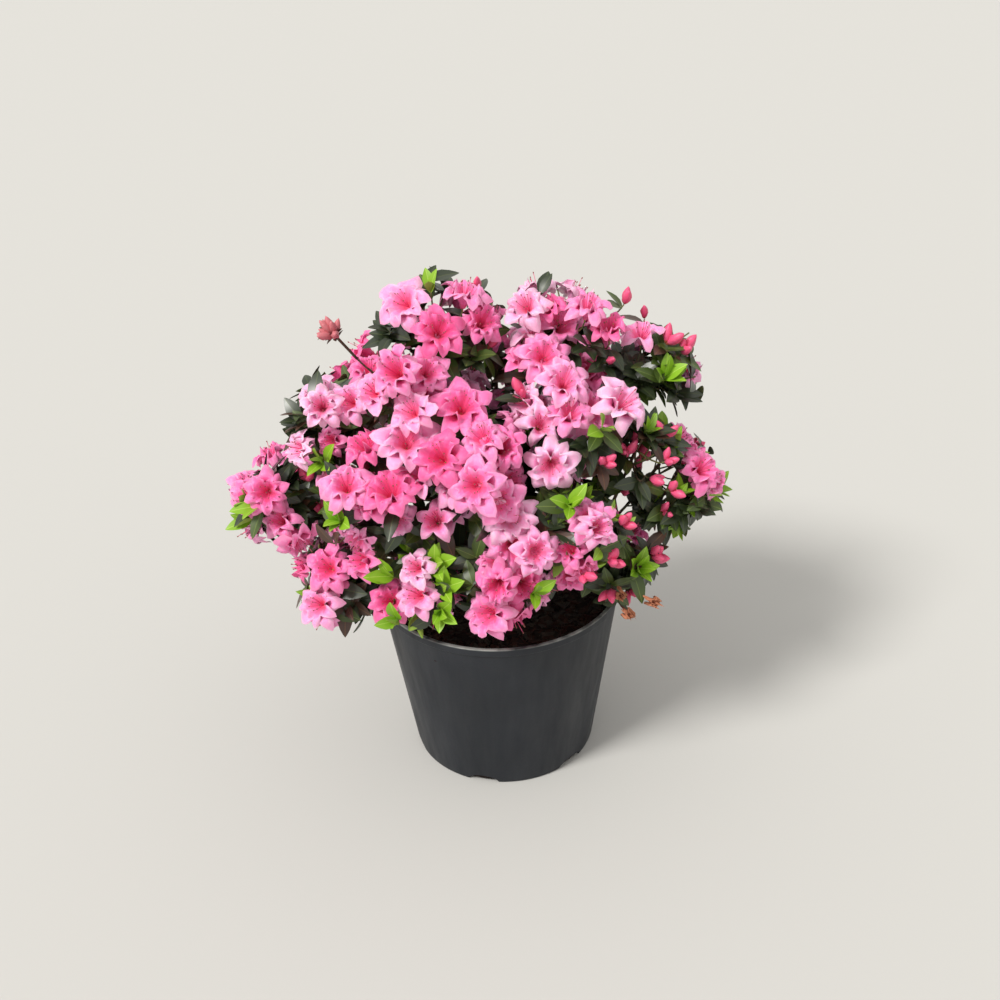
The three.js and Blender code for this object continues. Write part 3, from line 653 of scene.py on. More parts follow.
class Curve:
    """A smooth curve through the space of the plant, drawn by four corner points."""

    def __init__(self, *corners):
        self.corners = np.array(corners, float)

    def at(self, t):
        weights = ((1 - t) ** 3, 3 * t * (1 - t) ** 2, 3 * t * t * (1 - t), t**3)
        return np.array(weights) @ self.corners

    def along(self, t):
        legs = np.diff(self.corners, axis=0)
        return unit(np.array(((1 - t) ** 2, 2 * t * (1 - t), t * t)) @ legs)

    def length(self):
        """The straight distance between its ends."""
        return float(np.linalg.norm(self.corners[-1] - self.corners[0]))


class Heap:
    """The faces of one kind of thing, gathered and then made into one mesh."""

    def __init__(self):
        self.points = []
        self.faces = []
        self.slots = []
        self.count = 0

    def add(self, points, faces, slots=None):
        self.points.append(points)
        self.faces.append(faces + self.count)
        self.slots.append(np.zeros(len(faces), int) if slots is None else slots)
        self.count += len(points)

    def piece(self, name, slot, materials, nodes):
        mesh = triangle_mesh(name, np.vstack(self.points), np.vstack(self.faces), np.hstack(self.slots))
        for material in materials:
            mesh.materials.append(material)
        return add_piece(name, mesh, nodes)


def triangle_mesh(name, points, faces, slots=None):
    mesh = bpy.data.meshes.new(name)
    mesh.vertices.add(len(points))
    mesh.vertices.foreach_set("co", (points * MM).astype(np.float32).ravel())
    mesh.loops.add(3 * len(faces))
    mesh.loops.foreach_set("vertex_index", faces.astype(np.int32).ravel())
    mesh.polygons.add(len(faces))
    mesh.polygons.foreach_set("loop_start", np.arange(0, 3 * len(faces), 3, dtype=np.int32))
    mesh.polygons.foreach_set("use_smooth", np.ones(len(faces), bool))
    if slots is not None:
        mesh.polygons.foreach_set("material_index", slots.astype(np.int32))
    mesh.update(calc_edges=True)
    mesh.validate()
    return mesh


def new_object(name, data):
    thing = bpy.data.objects.new(name, data)
    bpy.context.scene.collection.objects.link(thing)
    return thing


def add_piece(name, mesh, nodes):
    """A mesh of the plant or pot and the nodes of the model that it stands in for."""
    piece = new_object(name, mesh)
    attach(piece, "root")
    if nodes:
        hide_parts(*nodes)
    return piece


# Materials


def new_material(name, colour, roughness, **settings):
    """A material whose plain values sit on the shader's own sockets."""
    material = bpy.data.materials.new(name)
    material.use_nodes = True
    shader = material.node_tree.nodes["Principled BSDF"]
    shader.inputs["Base Color"].default_value = (*colour, 1)
    shader.inputs["Roughness"].default_value = roughness
    for label, value in settings.items():
        shader.inputs[label.replace("_", " ")].default_value = value
    return material


def noise(tree, coordinates, scale, detail=4.0, roughness=0.55):
    node = tree.nodes.new("ShaderNodeTexNoise")
    node.inputs["Scale"].default_value = scale
    node.inputs["Detail"].default_value = detail
    node.inputs["Roughness"].default_value = roughness
    tree.links.new(coordinates, node.inputs["Vector"])
    return node.outputs["Fac"]


def stretched(tree, scale=(1, 1, 1)):
    """The piece's own coordinates, stretched by a factor on each axis."""
    source = tree.nodes.new("ShaderNodeTexCoord")
    mapping = tree.nodes.new("ShaderNodeMapping")
    mapping.inputs["Scale"].default_value = scale
    tree.links.new(source.outputs["Object"], mapping.inputs["Vector"])
    return mapping.outputs["Vector"]


def ramp(tree, value, stops):
    node = tree.nodes.new("ShaderNodeValToRGB")
    elements = node.color_ramp.elements
    while len(elements) < len(stops):
        elements.new(0.5)
    for element, (place, colour) in zip(elements, stops):
        element.position = place
        element.color = (*colour, 1)
    tree.links.new(value, node.inputs["Fac"])
    return node.outputs["Color"]


def tinted(tree, value, tints):
    """A colour that goes through the tints as the value rises."""
    return ramp(tree, value, [(place, linear(*colour)) for place, colour in tints])


def add_relief(tree, shader, coordinates, relief):
    """Bumps by noise, too small to be modelled."""
    scale, detail, strength, depth = relief
    height = noise(tree, coordinates, scale, detail)
    node = tree.nodes.new("ShaderNodeBump")
    node.inputs["Strength"].default_value = strength
    node.inputs["Distance"].default_value = depth
    tree.links.new(height, node.inputs["Height"])
    tree.links.new(node.outputs["Normal"], shader.inputs["Normal"])


def share_between(tree, value, low, high):
    """0 up to the low value, 1 from the high one on, and rising evenly in between."""
    node = tree.nodes.new("ShaderNodeMapRange")
    node.inputs["From Min"].default_value = low
    node.inputs["From Max"].default_value = high
    tree.links.new(value, node.inputs["Value"])
    return node.outputs["Result"]


def rim_highlight(tree, colour, coordinates):
    """The colour with a pale painted highlight along the top of the lip, broken up by noise."""
    apart = tree.nodes.new("ShaderNodeSeparateXYZ")
    tree.links.new(coordinates, apart.inputs["Vector"])
    highlight_starts = (POT_HEIGHT - LIP_ROUND) * MM
    highlight_full = (POT_HEIGHT - RIM_HIGHLIGHT_FULL * LIP_ROUND) * MM
    height = share_between(tree, apart.outputs["Z"], highlight_starts, highlight_full)
    patches = share_between(tree, noise(tree, coordinates, RIM_HIGHLIGHT_SCALE), *RIM_HIGHLIGHT_PATCHES)
    amount = tree.nodes.new("ShaderNodeMath")
    amount.operation = "MULTIPLY"
    tree.links.new(height, amount.inputs[0])
    tree.links.new(patches, amount.inputs[1])
    blend = tree.nodes.new("ShaderNodeMix")
    blend.data_type = "RGBA"
    tree.links.new(amount.outputs["Value"], blend.inputs["Factor"])
    tree.links.new(colour, blend.inputs["A"])
    blend.inputs["B"].default_value = (*linear(*RIM_HIGHLIGHT_COLOUR), 1)
    return blend.outputs["Result"]


def pot_material():
    material = new_material("pot_plastic", linear(*POT_COLOUR), POT_ROUGHNESS, Specular_IOR_Level=POT_SHINE)
    tree = material.node_tree
    shader = tree.nodes["Principled BSDF"]
    even = stretched(tree)
    upright = stretched(tree, POT_SCUFF_STRETCH)
    dusty = tinted(tree, noise(tree, even, *POT_CLOUDS), POT_TINTS)
    # The pot's colour: clouds of noise, with a painted highlight along the top of the lip
    tree.links.new(rim_highlight(tree, dusty, even), shader.inputs["Base Color"])
    scuffs = noise(tree, upright, *POT_SCUFFS)
    shine = ramp(tree, scuffs, [(place, (level, level, level)) for place, level in POT_SCUFF_ROUGHNESS])
    tree.links.new(shine, shader.inputs["Roughness"])
    add_relief(tree, shader, even, POT_RELIEF)
    return material


def mix_material(name, dark, light):
    material = new_material(name, linear(*dark), MIX_ROUGHNESS, Specular_IOR_Level=MIX_SHINE)
    tree = material.node_tree
    shader = tree.nodes["Principled BSDF"]
    even = stretched(tree)
    grainy = tinted(tree, noise(tree, even, *MIX_GRAIN), zip(MIX_TINTS_AT, (dark, light)))
    tree.links.new(grainy, shader.inputs["Base Color"])
    add_relief(tree, shader, even, MIX_RELIEF)
    return material


def bark_material():
    material = new_material("bark", linear(*BARK_COLOUR), BARK_ROUGHNESS, Specular_IOR_Level=BARK_SHINE)
    tree = material.node_tree
    shader = tree.nodes["Principled BSDF"]
    even = stretched(tree)
    flakes = noise(tree, stretched(tree, BARK_FLAKE_STRETCH), *BARK_FLAKES)
    tree.links.new(tinted(tree, flakes, BARK_TINTS), shader.inputs["Base Color"])
    add_relief(tree, shader, even, BARK_FINE_RELIEF)
    return material


def petal_materials(name, edge, body, throat, fleck):
    """The petal's tints from the throat to the edge, and the flecks last."""
    ends = np.array([throat, body, edge])
    glow = {"Subsurface_Weight": PETAL_GLOW, "Sheen_Weight": PETAL_SHEEN}
    materials = []
    for i, shares in enumerate(PETAL_BLENDS):
        made = new_material(f"{name}_{i}", linear(*(np.array(shares) @ ends)), PETAL_ROUGHNESS, **glow)
        shader = made.node_tree.nodes["Principled BSDF"]
        shader.inputs["Subsurface Radius"].default_value = PETAL_GLOW_REACH
        shader.inputs["Subsurface Scale"].default_value = MM
        materials.append(made)
    materials.append(new_material(f"{name}_fleck", linear(*fleck), FLECK_ROUGHNESS))
    return materials


def leaf_materials(name, top, rib, under, roughness, coat):
    coat_settings = {"Coat_Weight": coat, "Coat_Roughness": LEAF_COAT_ROUGHNESS}
    return [
        new_material(f"{name}_top", linear(*top), roughness, **coat_settings),
        new_material(f"{name}_rib", linear(*rib), roughness + RIB_ROUGHER_BY),
        new_material(f"{name}_under", linear(*under), LEAF_UNDER_ROUGHNESS),
    ]


def plain_materials(piece_name):
    return [
        new_material(name, linear(*colour), roughness, Subsurface_Weight=glow)
        for name, colour, roughness, glow in PLAIN_LOOKS[piece_name]
    ]


# Wood


def stem_curve():
    foot = np.array([0.0, 0.0, MIX_TOP + GAP])
    top = np.array([0.0, 0.0, STEM_TOP]) + STEM_LEAN
    rise = (STEM_TOP - MIX_TOP) / 3
    return Curve(foot, foot + UP * rise, top - UP * rise, top)


def stem_radius(t):
    return STEM_RADIUS + (STEM_FLARE_RADIUS - STEM_RADIUS) * (1 - t) ** FLARE_POWER


class Limb:
    """A bough or side limb with the spray that it carries."""

    def __init__(self, seed, row, others):
        self.name, leaves, middle, self.spread, self.thick, self.bloom, self.bud = row
        self.seed = seed
        self.centre = np.array(middle, float)
        self.is_side = isinstance(leaves, tuple)
        self.curve = self.make_curve(leaves, others)
        self.node = f"{'limb' if self.is_side else 'bough'}_{self.name}"

    def start(self, leaves, others):
        """The point where the limb starts, and the direction in which it leaves."""
        if isinstance(leaves, str):
            side = -1 if leaves == "left_leader" else 1
            return stem_curve().at(1) + np.array([side * LEADER_OFFSET, 0, GAP]), UP
        if self.is_side:
            carrier = others[leaves[0]].curve
            point = carrier.at(leaves[1])
            to_spray = unit(self.centre - point)
            return point, unit(SIDE_LIMB_FOLLOW * carrier.along(leaves[1]) + to_spray)
        point = stem_curve().at((leaves - MIX_TOP) / (STEM_TOP - MIX_TOP))
        to_spray = self.centre - point
        level = unit(np.array([to_spray[0], to_spray[1], 0.0]))
        return point, unit(level + BOUGH_SLOPE * UP)

    def make_curve(self, leaves, others):
        start, leaving = self.start(leaves, others)
        approach = unit(unit(self.centre - start) + LIMB_UPTURN * UP)
        tip = self.centre - LIMB_END * self.spread * approach
        length = np.linalg.norm(tip - start)
        after_start = start + LIMB_START_PULL * length * leaving
        before_tip = tip - LIMB_END_PULL * length * approach
        return Curve(start, after_start, before_tip, tip)

    def radius(self, t):
        return self.thick * (1 - LIMB_TAPER * t)

    def stem(self):
        """The spray's own stem, from the limb's tip to a little past the middle of the spray."""
        foot = self.curve.at(1)
        bend = foot + self.curve.along(1) * SPRAY_STEM_BEND * np.linalg.norm(foot - self.centre)
        end = self.centre + STEM_PAST_MIDDLE * unit(self.centre - foot)
        return Curve(foot, bend, end + (bend - end) * SPRAY_STEM_EASE, end)


def tube_rings(curve, radius_at, sides, steps):
    """The points of a tube, ring by ring, in a frame that turns little from one to the next."""
    rings = np.empty((steps + 1, sides, 3))
    turns = np.arange(sides) * 2 * math.pi / sides
    along = curve.along(0)
    side = unit(np.cross(along, UP if abs(along[2]) < NEARLY_UPRIGHT else BACKWARD))
    for i in range(steps + 1):
        t = i / steps
        along = curve.along(t)
        side = unit(side - along * (side @ along))
        other = np.cross(along, side)
        radius = radius_at(t, turns)
        offsets = np.outer(radius * np.cos(turns), side) + np.outer(radius * np.sin(turns), other)
        rings[i] = curve.at(t) + offsets
    return rings


def band(low, high, count):
    """The triangles between two rings of points, from the numbers of their first points."""
    here = np.arange(count)
    after = (here + 1) % count
    return np.vstack([
        np.stack([low + here, low + after, high + after], 1),
        np.stack([low + here, high + after, high + here], 1),
    ])


def ring_faces(rings, sides):
    """The triangles of a closed tube with a fan at each end, whose last two points are the ends' middles."""
    here = np.arange(sides)
    after = (here + 1) % sides
    faces = [band(i * sides, (i + 1) * sides, sides) for i in range(rings - 1)]
    last = (rings - 1) * sides
    foot, tip = rings * sides, rings * sides + 1
    faces.append(np.stack([after, here, np.full(sides, foot)], 1))
    faces.append(np.stack([last + here, last + after, np.full(sides, tip)], 1))
    return np.vstack(faces)


def add_tube(heap, curve, radius_at, sides, steps, slot=0):
    """A tube whose radius is a function of the share along it and the turns round it."""
    rings = tube_rings(curve, radius_at, sides, steps)
    end = curve.at(1) + curve.along(1) * radius_at(1, 0.0) * TUBE_END_ROUND
    faces = ring_faces(steps + 1, sides)
    heap.add(np.vstack([rings.reshape(-1, 3), curve.at(0), end]), faces, np.full(len(faces), slot))


def waves(following, count):
    """A lumpy function of a turn and a distance along, from a few seeded waves."""
    parts = []
    for _ in range(count):
        around = 1 + int(WAVE_MOST_AROUND * following())
        pace = between(following, WAVE_PACES)
        phase = 2 * math.pi * following()
        parts.append((around, pace, phase, between(following, WAVE_SIZES)))

    def height(turns, distance):
        total = sum(size * np.sin(k * turns + pace * distance + phase) for k, pace, phase, size in parts)
        return total / count

    return height


def add_wood(heap, curve, radius_at, seed):
    """A limb with the relief of its bark."""
    relief = waves(seeded_numbers(FINE_SEED + seed), BARK_WAVES)
    length = curve.length()
    steps = max(WOOD_LEAST_STEPS, int(length / WOOD_STEP))

    def bark_radius(t, turns):
        return radius_at(t, turns) * (1 + BARK_RELIEF * relief(turns, t * length))

    add_tube(heap, curve, bark_radius, WOOD_SIDES, steps)


def flared_radius(t, turns):
    """The main stem's radius, with low lobes round its foot and a rounded top."""
    lobes = np.cos(FLARE_LOBES * turns) * FLARE_LOBE_DEPTH * (1 - t) ** 2
    past = max(0.0, (t - STEM_ROUND_FROM) / STEM_ROUND_OVER)
    return stem_radius(t) * (1 + lobes) * math.sqrt(max(0.0, 1 - past**2 * STEM_ROUNDING))


def add_main_stem():
    heap = Heap()
    add_wood(heap, stem_curve(), flared_radius, 0)
    heap.piece("stem_bark", "bark", [BARK], ["main_stem"])


def add_limbs():
    heap = Heap()
    for limb in limbs:
        add_wood(heap, limb.curve, lambda t, turns: limb.radius(t), limb.seed)
    heap.piece("boughs_bark", "bark", [BARK], [limb.node for limb in limbs])


# The spaces that hold the crown


def in_own_space(point, limb):
    """True inside the limb's own ball and on its side of the walls that it shares with other sprays."""
    own = ((point - limb.centre) ** 2).sum() - limb.spread**2
    if own > 0:
        return False
    theirs = ((point - CENTRES) ** 2).sum(1) - SPREADS**2
    apart = np.linalg.norm(CENTRES - limb.centre, axis=1)
    others = apart > 0
    return bool(np.all(theirs[others] - own > 2 * CELL_MARGIN * apart[others]))


def in_crown(points, slack=0.0):
    """True where every point lies in the space of one spray or another."""
    apart = np.linalg.norm(points[:, None, :] - CENTRES[None, :, :], axis=2)
    return bool(np.all((apart <= SPREADS + slack).any(axis=1)))


def in_leafy_space(points, slack=0.0):
    """As in_crown, with the heart of the plant between the sprays counted in."""
    from_heart = np.linalg.norm(points - LEAFY_HEART, axis=1)
    return bool(np.all(from_heart <= LEAFY_HEART_REACH)) or in_crown(points, slack)


def clear_of_pot(points):
    """True if the points are all above the pot, all inside its mouth or all outside its wall."""
    across = np.hypot(points[:, 0], points[:, 1])
    above = points[:, 2] > POT_HEIGHT + ABOVE_POT
    within = (points[:, 2] > MIX_TOP + ABOVE_MIX) & (across < RIM_RADIUS - INSIDE_RIM)
    outside = across > RIM_RADIUS + OUTSIDE_RIM
    return bool(above.all() or within.all() or outside.all())


def room_along(limb, direction):
    """How far the spray's space reaches from its middle that way."""
    room = limb.spread
    for other in limbs:
        if other is limb:
            continue
        apart = other.centre - limb.centre
        distance = math.sqrt(apart @ apart)
        wall = (distance**2 + limb.spread**2 - other.spread**2) / (2 * distance)
        toward = direction @ apart / distance
        if toward > 0:
            room = min(room, wall / toward)
    return room


def clear_of_wood(foot, tip):
    """True if a twig from foot to tip keeps off the limbs."""
    spots = foot + np.linspace(0.0, 1.0, TWIG_SPOTS)[:, None] * (tip - foot)
    apart = np.linalg.norm(spots[:, None, :] - WOOD_POINTS[None, :, :], axis=2)
    return bool(np.all(apart > WOOD_RADII + OFF_WOOD))


# Blossom, leaf and bud shapes


def facing(along, top):
    """A frame's axes, as rows, with the first along the given direction and the third near the top side."""
    x = unit(along)
    z = unit(top - x * (top @ x))
    return np.array([x, np.cross(z, x), z])


def frame_about(axis):
    """A frame's axes with the first along the given one, upright where that one lets it be."""
    return facing(axis, UP if abs(axis[2]) < NEARLY_UPRIGHT else SIDEWAYS)


def aside_of(axes, turn):
    """The way square to a frame's first axis, at a turn round it."""
    return axes[1] * math.cos(turn) + axes[2] * math.sin(turn)


def tilted(axis, tilt, turn):
    """The axis leant over by a tilt, to the side that the turn gives."""
    level = SIDEWAYS if abs(axis[2]) > NEARLY_UPRIGHT else UP
    side = unit(np.cross(axis, level))
    other = np.cross(axis, side)
    sideways = side * math.cos(turn) + other * math.sin(turn)
    return axis * math.cos(tilt) + sideways * math.sin(tilt)


def corolla_surface(following, closed, is_inner):
    """One blossom's grid of points, ring by ring from the throat, for a radius of 1, with x forward."""
    steps = np.arange(LOBES * LOBE_STEPS)
    lobe = (steps % LOBE_STEPS) / LOBE_STEPS - 0.5
    which = steps // LOBE_STEPS
    off_middle = np.abs(2 * lobe)
    lengths = np.array([varied(following, LOBE_LENGTH_VARIES) for _ in range(LOBES)])[which]
    backs = np.array([varied(following, RECURVE_VARIES) for _ in range(LOBES)])[which]
    twists = np.array([following() - 0.5 for _ in range(LOBES)])[which]
    ruffles = np.array([2 * math.pi * following() for _ in range(LOBES)])[which]
    turns = math.pi / 2 + (which + lobe) * 2 * math.pi / LOBES
    if is_inner:
        turns = turns + math.pi / LOBES
    cut = LOBE_CUT * varied(following, CUT_VARIES)
    outline = lengths * (1 - cut * off_middle**LOBE_POINT)
    ruffle = RUFFLE * (INNER_RUFFLE if is_inner else 1)
    depth = BLOSSOM_DEPTH / BLOSSOM_RADIUS
    wave = np.sin(4 * math.pi * lobe + ruffles) * (1 - (1 - off_middle) ** 2 * RUFFLE_IN_MIDDLE)
    grid = []
    for s in CUP_RINGS:
        spread = THROAT_SHARE + (1 - THROAT_SHARE) * s**THROAT_FLARE
        reach = spread * (1 + (outline - 1) * s**LOBE_CUT_FLARE)
        bent = LOBE_RECURVE * backs * s**RECURVE_POWER * (1 - RECURVE_AT_MARGIN * off_middle)
        forward = depth * (1 - (1 - s) ** CUP_POWER) - bent
        forward = forward + LOBE_HOLLOW * s**2 * (off_middle**2 - LOBE_HOLLOW_LEVEL)
        forward = forward + ruffle * s**2 * wave + LOBE_TWIST * twists * lobe * s**2
        turned = turns + RUFFLE_TURN * s**2 * wave
        grid.append(np.stack([forward, reach * np.cos(turned), reach * np.sin(turned)], 1))
    surface = np.array(grid)
    surface[:, :, 1:] *= 1 - closed
    surface[:, :, 0] *= 1 + CLOSED_STRETCH * closed
    if is_inner:
        surface[:, :, 1:] *= INNER_SHARE
        surface[:, :, 0] = surface[:, :, 0] * INNER_STRETCH + INNER_FORWARD
    return surface


def petal_tones():
    """Which tint each step of each ring takes, deeper in the throat and along the middle of each petal."""
    off_middle = np.abs(2 * ((np.arange(LOBES * LOBE_STEPS) + 0.5) % LOBE_STEPS / LOBE_STEPS - 0.5))
    tones = []
    for low, high in zip(CUP_RINGS, CUP_RINGS[1:]):
        s = (low + high) / 2
        tone = PETAL_TINTS * (TINT_BY_RING * s + TINT_BY_MARGIN * s * off_middle)
        tones.append(np.clip(tone.astype(int), 0, PETAL_TINTS - 1))
    return tones


def corolla(following, closed, is_inner):
    """The points, triangles and slots of one thin corolla of radius 1, more or less closed."""
    surface = corolla_surface(following, closed, is_inner)
    rings, count = surface.shape[:2]
    back = surface.copy()
    thin = PETAL_THICK / BLOSSOM_RADIUS
    back[:-1, :, 0] -= thin
    back[:-1, :, 1:] *= 1 + PETAL_BACK_SPREAD * thin
    middles = [[THROAT_FRONT, 0, 0], [THROAT_BACK, 0, 0]]
    points = np.vstack([surface.reshape(-1, 3), back.reshape(-1, 3), middles])
    here = np.arange(count)
    after = (here + 1) % count
    on_top_lobe = here < LOBE_STEPS
    shift = rings * count
    faces, slots = [], []
    for i, tone in enumerate(petal_tones()):
        low, high = i * count, (i + 1) * count
        has_fleck = on_top_lobe & (here % 2 == i % 2) & (here > 0) & (i in FLECK_RINGS) & (not is_inner)
        under = np.minimum(tone + 1, PETAL_TINTS - 1)
        faces += [band(low, high, count)[:, [0, 2, 1]], band(low + shift, high + shift, count)]
        slots += [np.where(has_fleck, PETAL_TINTS, tone), tone, under, under]
    front_middle, back_middle = len(points) - 2, len(points) - 1
    faces += [np.stack([here, after, np.full(count, front_middle)], 1)]
    faces += [np.stack([shift + after, shift + here, np.full(count, back_middle)], 1)]
    slots += [np.zeros(count, int), np.zeros(count, int)]
    return points, np.vstack(faces), np.hstack(slots)


def strips(first, second, root, tip):
    """The triangles between two rows of points along a leaf, from its root to its tip."""
    last = len(LEAF_STATIONS) - 1
    rows = [[root, first, second]]
    for i in range(last):
        rows += [[first + i, first + i + 1, second + i + 1], [first + i, second + i + 1, second + i]]
    rows.append([first + last, tip, second + last])
    return rows


def leaf_shape(width, fold, droop, blunt):
    """The points, triangles and slots of a thin leaf of length 1, with x to its tip and z up."""
    stations = np.array(LEAF_STATIONS)
    half = 0.5 * width * np.sin(math.pi * stations**blunt) ** LEAF_ROUNDNESS
    height = -droop * stations**2
    across = np.array([1, -1, 1])
    left = np.stack([stations, half, height + fold * half], 1)
    rib_half = np.minimum(RIB_HALF_WIDTH, RIB_OF_HALF * half)
    inner_left = np.stack([stations, rib_half, height + 0.5 * fold * half], 1)
    lower = np.stack([stations, 0 * stations, height - LEAF_KEEL], 1)
    ends = np.array([[LEAF_FOOT, 0.0, 0.0], [1.0, 0.0, -droop]])
    top = np.vstack([ends, left, inner_left, inner_left * across, left * across])
    under = np.vstack([ends, left, lower, left * across])
    n = len(stations)
    shift = len(top)
    top_faces = strips(2 + n, 2, 0, 1) + strips(2 + 3 * n, 2 + 2 * n, 0, 1)
    rib_faces = strips(2 + 2 * n, 2 + n, 0, 1)
    under_faces = strips(shift + 2, shift + 2 + n, shift, shift + 1)
    under_faces += strips(shift + 2 + n, shift + 2 + 2 * n, shift, shift + 1)
    faces = np.array(top_faces + rib_faces + under_faces)
    slots = np.array([0] * len(top_faces) + [1] * len(rib_faces) + [2] * len(under_faces))
    return np.vstack([top, under]), faces, slots


def bud_shape():
    """The points, triangles and slots of a pointed bud of length 1, its petals wound round it."""
    steps = np.arange(BUD_SIDES)
    flutes = 1 + BUD_FLUTE * np.cos(steps * math.pi)
    rings = []
    for s in BUD_STATIONS:
        swell = BUD_SWELL * math.sin(math.pi * s**BUD_SWELL_PLACE) ** BUD_SWELL_POWER
        radius = 0.5 * (BUD_FOOT_WIDTH + swell) * flutes * (BUD_WIDTH / BUD_LENGTH)
        turns = steps * 2 * math.pi / BUD_SIDES + BUD_WIND * s
        rings.append(np.stack([np.full(BUD_SIDES, s), radius * np.cos(turns), radius * np.sin(turns)], 1))
    points = np.vstack(rings + [np.array([[BUD_FOOT, 0, 0], [1.0, 0, 0]])])
    faces = ring_faces(len(BUD_STATIONS), BUD_SIDES)
    slots = np.zeros(len(faces), int)
    slots[: 2 * BUD_SIDES] = 1
    return points, faces, slots


# Growth


def grow_shoots(limb, following):
    """The spray's shoots by the model's rule: where each starts and ends, and the way its end faces."""
    outwards = unit(limb.centre - CROWN_HEART)
    back = -limb.curve.along(1)
    phase = following() * 2 * math.pi
    stem = limb.stem()
    shoots = []
    for i in range(TWIG_DIRECTIONS):
        level = 1 - (2 * i + 1) / TWIG_DIRECTIONS
        ring = math.sqrt(1 - level**2)
        turn = phase + i * GOLDEN_ANGLE
        aim = np.array([ring * math.cos(turn), ring * math.sin(turn), level])
        foot = stem.at(FIRST_TWIG + (1 - FIRST_TWIG) * (i + 0.5) / TWIG_DIRECTIONS)
        kind = following()
        reach = TWIG_LEAST_REACH + (1 - TWIG_LEAST_REACH) * following()
        room = room_along(limb, aim) - (BLOSSOM_ROOM if kind < limb.bloom else TWIG_ROOM)
        tip = limb.centre + aim * room * reach
        axis = unit(unit(tip - foot) + SHOOT_UPTURN * UP + SHOOT_OUTWARD * outwards)
        aimed = aim @ outwards > TWIG_INWARD_LIMIT and aim @ back < TWIG_BACK_LIMIT
        within = room > TWIG_SHORTEST and in_own_space(foot, limb) and in_own_space(tip, limb)
        if aimed and within and clear_of_wood(foot, tip):
            shoots.append({"foot": foot, "tip": tip, "axis": axis, "kind": kind})
    return shoots


def shoot_curve(foot, tip, axis):
    """The course of a twig that leaves its foot toward the tip and ends along the axis."""
    length = np.linalg.norm(tip - foot)
    leaving = unit(tip - foot - SHOOT_FOOT_BEND * length * axis)
    after_foot = foot + SHOOT_FOOT_PULL * length * leaving
    return Curve(foot, after_foot, tip - SHOOT_TIP_PULL * length * axis, tip)


def funnel_depth(radius):
    return radius * BLOSSOM_DEPTH / BLOSSOM_RADIUS


def ahead_and_aside(points, roots, axes):
    """How far each point lies along each axis from its root, and how far off that axis."""
    apart = points[:, None, :] - roots[None, :, :]
    ahead = np.einsum("ijk,jk->ij", apart, axes)
    return ahead, np.sqrt(np.maximum((apart**2).sum(2) - ahead**2, 0))


def any_in_funnels(points, placed, slack, past=0.0):
    """True if a point lies within one of the funnels, made narrower by the slack."""
    if not placed:
        return False
    roots, axes, radii = (np.array(column) for column in zip(*placed))
    ahead, aside = ahead_and_aside(points, roots, axes)
    depth = funnel_depth(radii)
    width = radii * (FUNNEL_THROAT + (1 - FUNNEL_THROAT) * np.clip(ahead / depth, 0, 1))
    return bool(((ahead > 0) & (ahead < depth + past) & (aside < width - slack)).any())


def in_blossom(points, slack):
    """True if a point lies within the funnel of a blossom that is already placed."""
    return any_in_funnels(points, funnels, slack, FUNNEL_PAST - slack)


def mouth_points(root, axis, radius):
    """The middle of a blossom's mouth and a few points round it."""
    axes = frame_about(axis)
    middle = root + axis * funnel_depth(radius)
    reach = radius * GAP_FREE_OF_BLOSSOM
    return np.array([middle] + [middle + reach * aside_of(axes, turn) for turn in range(MOUTH_SPOTS)])


def hides_a_face(points):
    """True if a point stands between the viewer and the face of a blossom that shows from the front."""
    if not front_faces:
        return False
    middles, ways, radii = (np.array(column) for column in zip(*front_faces))
    ahead, aside = ahead_and_aside(points, middles, ways)
    return bool(((ahead > -FACE_TOUCH) & (aside < radii * FACE_KEPT_FREE)).any())


def shows_in(points, circles):
    """True if a point would show inside one of the circles in the picture."""
    apart = points - EYE
    depth = -apart @ VIEW_AXES[0]
    across = PICTURE / 2 + FOCAL_PIXELS * (apart @ VIEW_AXES[1]) / depth
    down = PICTURE / 2 - FOCAL_PIXELS * (apart @ VIEW_AXES[2]) / depth
    return any(bool((np.hypot(across - x, down - y) < radius).any()) for x, y, radius in circles)


def funnel_points(root, axis, radius):
    """The spots at which a blossom's funnel is tried."""
    axes = frame_about(axis)
    depth = funnel_depth(radius)
    points = [root + axis * depth * FUNNEL_MIDDLE]
    for reach, ahead in FUNNEL_SPOTS:
        for turn in np.arange(FUNNEL_TURNS) * 2 * math.pi / FUNNEL_TURNS:
            points.append(root + axis * depth * ahead + aside_of(axes, turn) * radius * reach)
    return np.array(points)


def try_blossom(root, axis, radius, tint, following, slack=1.0):
    """Places a blossom if its funnel is free of others, within the crown and clear of the pot."""
    points = funnel_points(root, axis, radius)
    if not (in_crown(points, slack) and clear_of_pot(points)) or in_blossom(points, BLOSSOM_OVERLAP):
        return False
    if slack < FRONT_SLACK and shows_in(mouth_points(root, axis, radius), FRONT_GAPS + FRONT_LEAFY_PATCHES):
        return False
    for other in funnels:
        near = np.linalg.norm(other[0] - root) < NEIGHBOUR_REACH * BLOSSOM_RADIUS
        if near and any_in_funnels(funnel_points(*other), [(root, axis, radius)], BLOSSOM_OVERLAP):
            return False
    funnels.append((root, axis, radius))
    blossoms.append({"root": root, "axis": axis, "radius": radius, "tint": tint})
    skip_draws(following, 1)
    return True


def note_stalk(tip, shoot_axis, root, axis):
    """Notes the stalk of a blossom from a little below the shoot's tip."""
    pedicels.append((tip - shoot_axis * PEDICEL_SINK, shoot_axis, root, axis))


